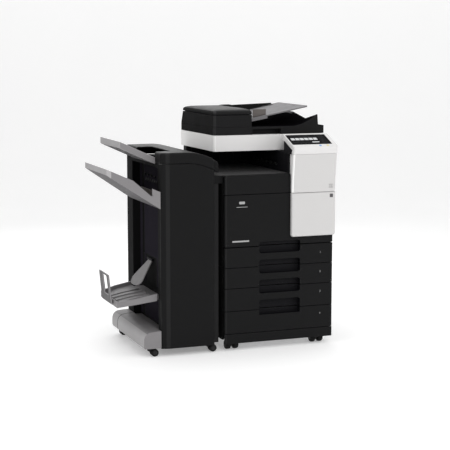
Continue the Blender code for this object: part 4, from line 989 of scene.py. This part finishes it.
# front door of the finisher: large soft left and right edges, bowed top
plan = smooth_line([(-0.3278, 0.0200), (-0.3273, 0.0155), (-0.3248, 0.0108), (-0.3185, 0.0068), (-0.3080, 0.0035), (-0.2960, 0.0013), (-0.2840, 0.0003), (-0.2740, 0.0)], 21)
plan += smooth_line([(-0.0680, 0.0), (-0.0620, 0.0005), (-0.0572, 0.0022), (-0.0543, 0.0054), (-0.0534, 0.0100), (-0.0532, 0.0200)], 12)


def plan_skin(zb, zt, y_back):
    """Body whose plan is the rounded front outline; top follows the bow."""
    xs_in = [-0.274 + 0.206 * k / 20 for k in range(1, 20)]
    line = [p for p in plan if p[0] <= -0.274 + 1e-6] + [(x, 0.0) for x in xs_in] + [p for p in plan if p[0] >= -0.0680 - 1e-6]
    ring = line + [(line[-1][0], y_back), (line[0][0], y_back)]
    full = line + [(x, y_back) for x, _ in line[::-1]]
    low = [(x, y, zb(x)) for x, y in full]
    high = [(x, y, zt(x)) for x, y in full]
    return loft([low, high], 'strip')


dm = plan_skin(lambda x: FIN_Z0, lambda x: bow(x, FSEAM - 0.001), 0.020)
# painted highlight: a vertical band near the left edge takes the lighter charcoal
piece("finisher_door_shell", dm, "black_fin", "finisher_door", bevel=0.0012, seg=3, limit=40, edge="black_rim", where=[("black_painted_light", lambda c, nr: -0.3050 < c.x < -0.2830 and nr.y < -0.8)],
      cuts=[box(-0.300, -0.085, 0.0155, 0.030, 0.075, 0.900)],
      rep="finisher_front_door")
piece("finisher_door_ribs", merge(*[box(-0.295, -0.090, 0.0156, 0.0192, z, z + 0.0025) for z in (0.20, 0.34, 0.48, 0.62, 0.76)]),
      "black_in", "finisher_door", bevel=0.0004)
# inside the bay: transport guide, stapler, jam levers and fold unit
piece("finisher_inner_plate", box(-0.2695, -0.0755, 0.2000, 0.2020, 0.1205, 0.8395), "steel", "root", bevel=0.0003,
      cuts=[merge(*[turned([(-0.01, 0.012), (0.01, 0.012)], (x, 0.201, z), 'Y', 24) for x in (-0.240, -0.110) for z in (0.18, 0.50, 0.80)])])
piece("stapler_unit", prism(rect(-0.240, -0.150, 0.560, 0.680, 0.008, 5), 'Y', 0.100, 0.1990), "black_in", "root", bevel=0.0014,
      cuts=[prism(rect(-0.225, -0.165, 0.585, 0.640, 0.004, 4), 'Y', 0.08, 0.108)])
piece("stapler_handle", prism(rect(-0.215, -0.175, 0.602, 0.620, 0.005, 5), 'Y', 0.092, 0.1075), "green", "root", bevel=0.0015)
piece("jam_levers", merge(prism(rect(-0.130, -0.100, 0.700, 0.715, 0.005, 5), 'Y', 0.150, 0.1995), prism(rect(-0.150, -0.120, 0.420, 0.435, 0.005, 5), 'Y', 0.150, 0.1995)),
      "green", "root", bevel=0.0015)
piece("fold_unit", prism(rect(-0.255, -0.100, 0.220, 0.360, 0.010, 5), 'Y', 0.080, 0.1995), "black_in", "root", bevel=0.0014,
      cuts=[merge(*[box(-0.240 + 0.02 * k, -0.232 + 0.02 * k, 0.07, 0.083, 0.245, 0.335) for k in range(7)])])

# top cover: one bowed shell with softened front edges, hollow, with the mouth of the upper tray


def lid_loop(dz_bottom, inset, top, n=22):
    """Ring of the lid at one level; inset pulls it inwards."""
    out = []
    x0, x1, y0, y1 = FIN_X[0] + 0.0002 + inset, -0.0532 - inset, 0.0 + inset, 0.600 - inset
    x2 = -0.0245 - inset
    lefts = [(x0, y0 + 0.0200), (x0 + 0.0005, y0 + 0.0155), (x0 + 0.0030, y0 + 0.0108), (x0 + 0.0093, y0 + 0.0068), (x0 + 0.0198, y0 + 0.0035),
             (x0 + 0.0318, y0 + 0.0013), (x0 + 0.0438, y0 + 0.0003), (x0 + 0.0538, y0)]
    rights = [(x1 - 0.0148, y0), (x1 - 0.0088, y0 + 0.0005), (x1 - 0.0040, y0 + 0.0022), (x1 - 0.0011, y0 + 0.0054), (x1 - 0.0002, y0 + 0.0100), (x1, y0 + 0.0200)]
    xa, xb = lefts[-1][0], rights[0][0]
    mids = [(xa + (xb - xa) * k / n, y0) for k in range(1, n)]
    side = [(x1 + 0.0002, y0 + 0.0270)] + [(x1 + (x2 - x1) * k / 6, y0 + 0.0276) for k in range(1, 6)] + [(x2 - 0.0006, y0 + 0.0282), (x2, y0 + 0.0300)]
    front = smooth_line(lefts, 21) + mids + smooth_line(rights, 12) + side
    back = [(x, y1) for x, _ in front[::-1]]
    for x, y in front + back:
        out.append((x, y, bow(x, top)))
    return out


edge_prof = [(FSEAM + 0.0010, 0.0012), (FSEAM + 0.0022, 0.0), (LID_T - 0.0030, 0.0)]
for k in range(1, 8):
    a = math.radians(90 * k / 7)
    edge_prof.append((LID_T - 0.0030 + 0.0109 * math.sin(a), 0.0109 * (1 - math.cos(a))))
lid = loft([lid_loop(0, ins, z) for z, ins in edge_prof], 'strip')
hollow = prism(bow_line(FSEAM - 0.02, FIN_X[0] + 0.006, FIN_X[1] - 0.004) + bow_line(LID_T + 0.002, FIN_X[0] + 0.006, FIN_X[1] - 0.004)[::-1], 'Y', 0.0230, 0.594)
mouth_top = prism([(x, y) for x, y in rect(-0.345, -0.2450, 0.100, 0.415, (0, 0.018, 0.018, 0), 8)], 'Z', 0.90, 1.05)
piece("finisher_lid_shell", lid, "black_fin", "finisher_lid", cuts=[hollow, mouth_top], bevel=0.0011, seg=3, limit=35,
      # painted highlight: a vertical band near the left edge takes the lighter charcoal
      smooth=40, edge="black_rim", where=[("black_painted_light", lambda c, nr: -0.3050 < c.x < -0.2830 and nr.y < -0.5)], rep="finisher_top_cover")
piece("lid_inner_floor", prism(
      [(-0.3240, 0.9458), (-0.2000, 0.9458), (-0.1400, 0.9400), (-0.1400, 0.9410), (-0.2000, 0.9468), (-0.3240, 0.9468)], 'Y', 0.070, 0.500), "black_in", "root",
      bevel=0)
piece("upper_exit_rollers", merge(*[turned([(0, 0.002), (0.0012, 0.0070), (0.0188, 0.0070), (0.020, 0.002)], (-0.2600, 0.125 + 0.062 * k, 0.9550), 'Y', 24)
                                    for k in range(5)]), "rubber", "root", bevel=0)
piece("upper_exit_shaft", turned([(0, 0.0025), (0.300, 0.0025)], (-0.2600, 0.110, 0.9550), 'Y', 16), "chrome", "root", bevel=0)
piece("upper_exit_knob", turned([(-0.0060, 0.0040), (-0.0055, 0.0085), (0.0055, 0.0085), (0.0060, 0.0040)], (-0.3060, 0.118, 0.9800), 'Y', 28), "print_pale", "root",
      bevel=0)

# upper output tray
ut = loft([
    [(-0.3285, 0.090, 0.9410), (-0.3285, 0.460, 0.9410), (-0.3285, 0.460, 0.9730), (-0.3285, 0.090, 0.9730)],
    [(-0.4000, 0.090, 0.9735), (-0.4000, 0.460, 0.9735), (-0.4000, 0.460, 1.0055), (-0.4000, 0.090, 1.0055)],
    [(-0.4800, 0.091, 1.0097), (-0.4800, 0.459, 1.0097), (-0.4800, 0.459, 1.0430), (-0.4800, 0.091, 1.0430)],
    [(-0.5048, 0.096, 1.0212), (-0.5048, 0.458, 1.0212), (-0.5048, 0.458, 1.0538), (-0.5048, 0.096, 1.0538)]])
piece("upper_tray_body", ut, "grey", "root",
      cuts=[loft([[(x, y0, z0), (x, y1, z0), (x, y1, z0 + 0.06), (x, y0, z0 + 0.06)] for x, y0, y1, z0 in
                  ((-0.3200, 0.097, 0.453, 0.9655), (-0.4800, 0.098, 0.452, 1.0380), (-0.4990, 0.103, 0.451, 1.0465))]),
            merge(*[prism([(-0.3400, 0.9405), (-0.4900, 1.0088), (-0.4900, 1.0200), (-0.3400, 0.9560)], 'Y', 0.102 + 0.0505 * k, 0.1450 + 0.0505 * k) for k in range(7)])],
      # painted shade on the underside; painted highlight on the bevels and rounded corners; painted light on the end
      # faces that look left
      bevel=0.0022, seg=3, edge="grey_edge_highlight", underside_shade="grey_in", corner="grey_painted_highlight", where=[("grey_painted_light", lambda c, nr: nr.x < -0.80)], rep="upper_output_tray")
piece("upper_tray_ribs", merge(*[prism([(-0.3350, 0.9719), (-0.4900, 1.0421), (-0.4900, 1.0443), (-0.3350, 0.9740)], 'Y', y, y + 0.0035)
                                 for y in (0.150, 0.200, 0.250, 0.300, 0.350, 0.400)]), "grey", "root", bevel=0.0006)

# main output tray on the lift
def tri(x, a, b):
    f = (x + 0.3285) / (-0.5820 + 0.3285)
    return a + (b - a) * f


def mt_loop(x, grow=0.0):
    y0, y1 = tri(x, 0.010, 0.060), tri(x, 0.545, 0.475)
    z0, z1 = tri(x, 0.7290, 0.8970), tri(x, 0.8125, 0.9260)
    return [(x, y0, z0), (x, y1, z0), (x, y1, z1), (x, y0, z1)]


def mt_cut(x):
    f = (x + 0.3200) / (-0.5760 + 0.3200)
    return [(x, 0.022 + 0.050 * f, 0.7560 + 0.151 * f), (x, 0.533 - 0.070 * f, 0.7560 + 0.151 * f),
            (x, 0.533 - 0.070 * f, 0.95 + 0.10 * f), (x, 0.022 + 0.050 * f, 0.95 + 0.10 * f)]


mtb = loft([mt_loop(-0.3285), mt_loop(-0.4600), mt_loop(-0.5600), [(-0.5817, 0.063, 0.8972), (-0.5817, 0.473, 0.8972), (-0.5817, 0.473, 0.9256), (-0.5817, 0.063, 0.9256)]])
piece("lift_tray_body", mtb, "grey", "elevator_tray",
      cuts=[loft([mt_cut(-0.3200), mt_cut(-0.5760)]),
            prism([(-0.4550, 0.8680), (-0.3750, 0.7960), (-0.3700, 0.7925), (-0.3650, 0.7925), (-0.3650, 0.8800), (-0.4550, 0.9300)], 'Y', -0.02, 0.0480)],
      adds=[merge(box(-0.3400, -0.2865, 0.115, 0.135, 0.7420, 0.7520), box(-0.3400, -0.2865, 0.425, 0.445, 0.7420, 0.7520))],
      # painted shade on the underside; painted highlight on the bevels and rounded corners; painted light on the end
      # faces that look left
      bevel=0.0024, seg=3, edge="grey_edge_highlight", underside_shade="grey_in", corner="grey_painted_highlight", where=[("grey_painted_light", lambda c, nr: nr.x < -0.80)], rep="main_output_tray")


def mt_floor(x):
    return 0.7560 + 0.151 * (x + 0.3200) / (-0.5760 + 0.3200)


piece("lift_tray_ribs", merge(*[prism([(-0.3300, mt_floor(-0.330) - 0.001), (-0.5600, mt_floor(-0.560) - 0.001), (-0.5600, mt_floor(-0.560) + 0.0025),
                                       (-0.3300, mt_floor(-0.330) + 0.0030)], 'Y', y, y + 0.004) for y in (0.120, 0.175, 0.230, 0.285, 0.340, 0.395)]),
      "grey", "elevator_tray", bevel=0.0007)
piece("lift_tray_pad", prism([(-0.3360, mt_floor(-0.336) + 0.0004), (-0.4500, mt_floor(-0.450) + 0.0004), (-0.4500, mt_floor(-0.450) + 0.0030),
                              (-0.3360, mt_floor(-0.336) + 0.0030)], 'Y', 0.0460, 0.1120), "taupe", "elevator_tray", bevel=0.0008)
piece("lift_tray_stop", prism(rect(0.150, 0.330, 0.7560, 0.8090, (0, 0, 0.008, 0.008), 5), 'X', -0.3360, -0.3295), "taupe", "elevator_tray",
      bevel=0.0012, seg=3)

# booklet tray
piece("booklet_tray_body", loft([
    [(-0.3335, 0.060, 0.2700), (-0.3335, 0.520, 0.2620), (-0.3335, 0.520, 0.2900), (-0.3335, 0.060, 0.3050)],
    [(-0.4300, 0.075, 0.2550), (-0.4300, 0.490, 0.2530), (-0.4300, 0.490, 0.2790), (-0.4300, 0.075, 0.2840)],
    [(-0.5200, 0.120, 0.2350), (-0.5200, 0.430, 0.2370), (-0.5200, 0.430, 0.2680), (-0.5200, 0.120, 0.2630)]]), "grey", "root",
      cuts=[loft([
          [(-0.3200, 0.066, 0.2800), (-0.3200, 0.514, 0.2740), (-0.3200, 0.514, 0.3600), (-0.3200, 0.066, 0.3600)],
          [(-0.4300, 0.083, 0.2640), (-0.4300, 0.482, 0.2620), (-0.4300, 0.482, 0.3400), (-0.4300, 0.083, 0.3400)],
          [(-0.5140, 0.128, 0.2450), (-0.5140, 0.422, 0.2460), (-0.5140, 0.422, 0.3200), (-0.5140, 0.128, 0.3200)]])],
      adds=[box(-0.3400, -0.2855, 0.100, 0.460, 0.2690, 0.2760)],
      bevel=0.0022, seg=3, edge="grey_edge_highlight", rep="booklet_tray")


def bt_floor(x):
    return 0.2780 - 0.0160 * (-0.3200 - x) / 0.110 if x > -0.43 else 0.2620 - 0.0170 * (-0.430 - x) / 0.084


chan = []
for y, w in ((0.105, 0.030), (0.165, 0.030), (0.225, 0.030), (0.290, 0.030), (0.350, 0.030)):
    pts = [(-0.340, bt_floor(-0.340)), (-0.430, bt_floor(-0.430)), (-0.495, bt_floor(-0.495))]
    chan.append(prism([(x, z + 0.0075) for x, z in pts] + [(x, z - 0.001) for x, z in pts[::-1]], 'Y', y + (0.022 if y < 0.12 else 0.0), y + w))
piece("booklet_tray_rails", merge(*chan), "grey", "root", bevel=0.0014, seg=3, edge="grey_edge_highlight")

sp = loft([
    [(-0.5297, 0.190, 0.2400), (-0.5297, 0.370, 0.2400), (-0.5465, 0.362, 0.3900), (-0.5465, 0.190, 0.3900)],
    [(-0.5232, 0.190, 0.2400), (-0.5232, 0.370, 0.2400), (-0.5400, 0.362, 0.3900), (-0.5400, 0.190, 0.3900)]])
piece("booklet_stop_plate", sp, "grey_stop", "stopper", cuts=[prism(rect(0.226, 0.300, 0.284, 0.380, 0.007, 5), 'X', -0.60, -0.50)],
      bevel=0.0022, seg=3, edge="grey_edge_highlight", rep="booklet_stopper")

ft, fb = Vector((-0.2925, 0.4300)), Vector((-0.3830, 0.3120))
fd = (fb - ft).normalized()
fn = Vector((fd.y, -fd.x))
fl = (fb - ft).length


def flap_loop(h, shrink=0.0):
    ctl = [(0.278, -0.002), (0.332, -0.002), (0.340, 0.020), (0.380, fl - 0.045), (0.376, fl - 0.026),
           (0.362, fl - 0.010), (0.340, fl - 0.002), (0.310, fl), (0.275, fl - 0.002),
           (0.245, fl - 0.008), (0.228, fl - 0.022), (0.226, fl - 0.040), (0.268, 0.020)]
    out = []
    n = len(ctl)
    for i in range(n):
        p0, p1, p2, p3 = ctl[(i - 1) % n], ctl[i], ctl[(i + 1) % n], ctl[(i + 2) % n]
        soft = 3 <= i <= 10
        for q in range(4):
            f = q / 4.0
            if soft:
                pt = tuple(0.5 * (2 * b + (c - a) * f + (2 * a - 5 * b + 4 * c - d) * f * f + (3 * b - a - 3 * c + d) * f ** 3)
                           for a, b, c, d in zip(p0, p1, p2, p3))
            else:
                pt = tuple(b + (c - b) * f for b, c in zip(p1, p2))
            out.append(pt)
    cy, ctm = 0.303, fl * 0.55
    res = []
    for y, t in out:
        y2, t2 = cy + (y - cy) * (1 - shrink), ctm + (t - ctm) * (1 - shrink)
        arch = 0.0016 * (1 - ((y - 0.303) / 0.08) ** 2)
        p = ft + fd * t2 + fn * (h + (arch if h > 0 else 0))
        res.append((p.x, y2, p.y))
    return res


piece("booklet_flap_plate", loft([flap_loop(-0.0030), flap_loop(-0.0010), flap_loop(0.0018), flap_loop(0.0026, 0.02)]), "grey", "flap",
      bevel=0.0006, edge="grey_edge_highlight", rep="booklet_flap")
piece("booklet_flap_hinge_cover", prism(rect(-0.2975, -0.2853, 0.4320, 0.4440, 0.003, 4), 'Y', 0.262, 0.348), "black_in", "root", bevel=0.0008)

# foot in front of the recess
fp = smooth_line([(-0.3285, 0.1280), (-0.3480, 0.1273), (-0.3680, 0.1262), (-0.3850, 0.1242), (-0.3980, 0.1198), (-0.4075, 0.1125),
                  (-0.4130, 0.1035), (-0.4163, 0.0930), (-0.4177, 0.0800), (-0.4178, 0.0650), (-0.4172, 0.0520)], 30)
foot = prism([(-0.4120, 0.0432), (-0.3285, 0.0432)] + fp, 'Y', 0.010, 0.590)
round_edges(foot, lambda c: c.y < 0.0101 and not (abs(c.x + 0.3285) < 1e-4), 0.0110, 5)
piece("finisher_foot_body", foot, "grey", "root",
      adds=[box(-0.3400, -0.2855, 0.0650, 0.4950, 0.0500, 0.1200)],
      cuts=[prism([(-0.430, 0.0440), (-0.4125, 0.0440), (-0.4125, 0.0900), (-0.4050, 0.1050), (-0.3900, 0.1160), (-0.3300, 0.1215), (-0.3300, 0.140), (-0.430, 0.140)], 'Y', 0.4850, 0.4905)],
      # painted highlight on the bevels and the rounded front corner; painted light on the left faces
      bevel=0.0008, limit=50, edge="grey_edge_highlight", inner="black_deep", corner="grey_painted_highlight", side="grey_painted_light", rep="finisher_foot")
piece("foot_rear_bracket", prism([(-0.393, 0.0431), (-0.385, 0.0130), (-0.355, 0.0130), (-0.347, 0.0431)], 'Y', 0.5450, 0.5550),
      "steel", "root", cuts=[turned([(-0.03, 0.0052), (0.03, 0.0052)], (-0.370, 0.550, FWHEEL_R), 'Y', 24)], bevel=0.0006)

for side, sx in (("left", -0.3820), ("right", -0.0800)):
    wx = sx + 0.025
    piece("finisher_fork_%s_body" % side,
          prism([(wx - 0.008, 0.0120), (wx + 0.008, 0.0120), (wx + 0.008, 0.0300), (sx + 0.010, 0.0386), (sx - 0.010, 0.0386), (sx - 0.010, 0.0300)], 'Y', 0.0350, 0.0450),
          "hub", "finisher_fork_" + side, adds=[turned([(0.0, 0.013), (0.0040, 0.015)], (sx, 0.040, 0.0386), 'Z', 32)],
          bevel=0.0006, rep="finisher_caster_fork_" + side)
    wheel("finisher_front_%s_tyres" % side, "finisher_wheel_front_" + side, "finisher_wheel_front_" + side, FWHEEL_R, (wx, 0.040, FWHEEL_R), 'Y', 0.0062, 0.0200)
    rx = -0.370 if side == "left" else -0.085
    wheel("finisher_rear_%s_tyres" % side, "finisher_wheel_rear_" + side, "finisher_wheel_rear_" + side, FWHEEL_R, (rx, 0.550, FWHEEL_R), 'Y', 0.0062, 0.0200)

# every CAD node still shown gets a procedural finish
for nm, o in NODES.items():
    if not o.hide_render and nm not in ("base_frame", "engine_shelf"):
        print("CAD node still plain:", nm)
        paint(nm, "black")

# =====================================================================  floor
def soft_floor():
    m, nt, b, vec = new_mat("floor_pale")
    n = noise_node(nt, vec, 1.5, 3.0, 0.5, 20.0)
    nt.links.new(mixed(nt, n, (0.86, 0.86, 0.86), (0.89, 0.89, 0.89)), b.inputs["Base Color"])
    b.inputs["Roughness"].default_value = 0.75
    b.inputs["Specular IOR Level"].default_value = 0.2
    b.inputs["Emission Color"].default_value = (1.0, 1.0, 1.0, 1.0)
    b.inputs["Emission Strength"].default_value = 0.25
    bm = bmesh.new()
    prof = [(-9.0, 0.0)] + [(4.2 + 0.5 * k, 0.0) for k in range(3)] + \
           [(5.2 + 2.2 * math.sin(math.radians(a)), 2.2 - 2.2 * math.cos(math.radians(a))) for a in range(6, 91, 6)] + [(7.4, 9.0)]
    rows = [[bm.verts.new((x, y, z)) for y, z in prof] for x in (-11.0, 11.0)]
    for i in range(len(prof) - 1):
        bm.faces.new((rows[0][i], rows[1][i], rows[1][i + 1], rows[0][i + 1]))
    me = bpy.data.meshes.new("floor")
    bm.to_mesh(me)
    bm.free()
    me.shade_smooth()
    me.materials.append(m)
    ob = bpy.data.objects.new("floor", me)
    scene.collection.objects.link(ob)
    ob.rotation_euler = (0, 0, math.radians(-20.274))


soft_floor()
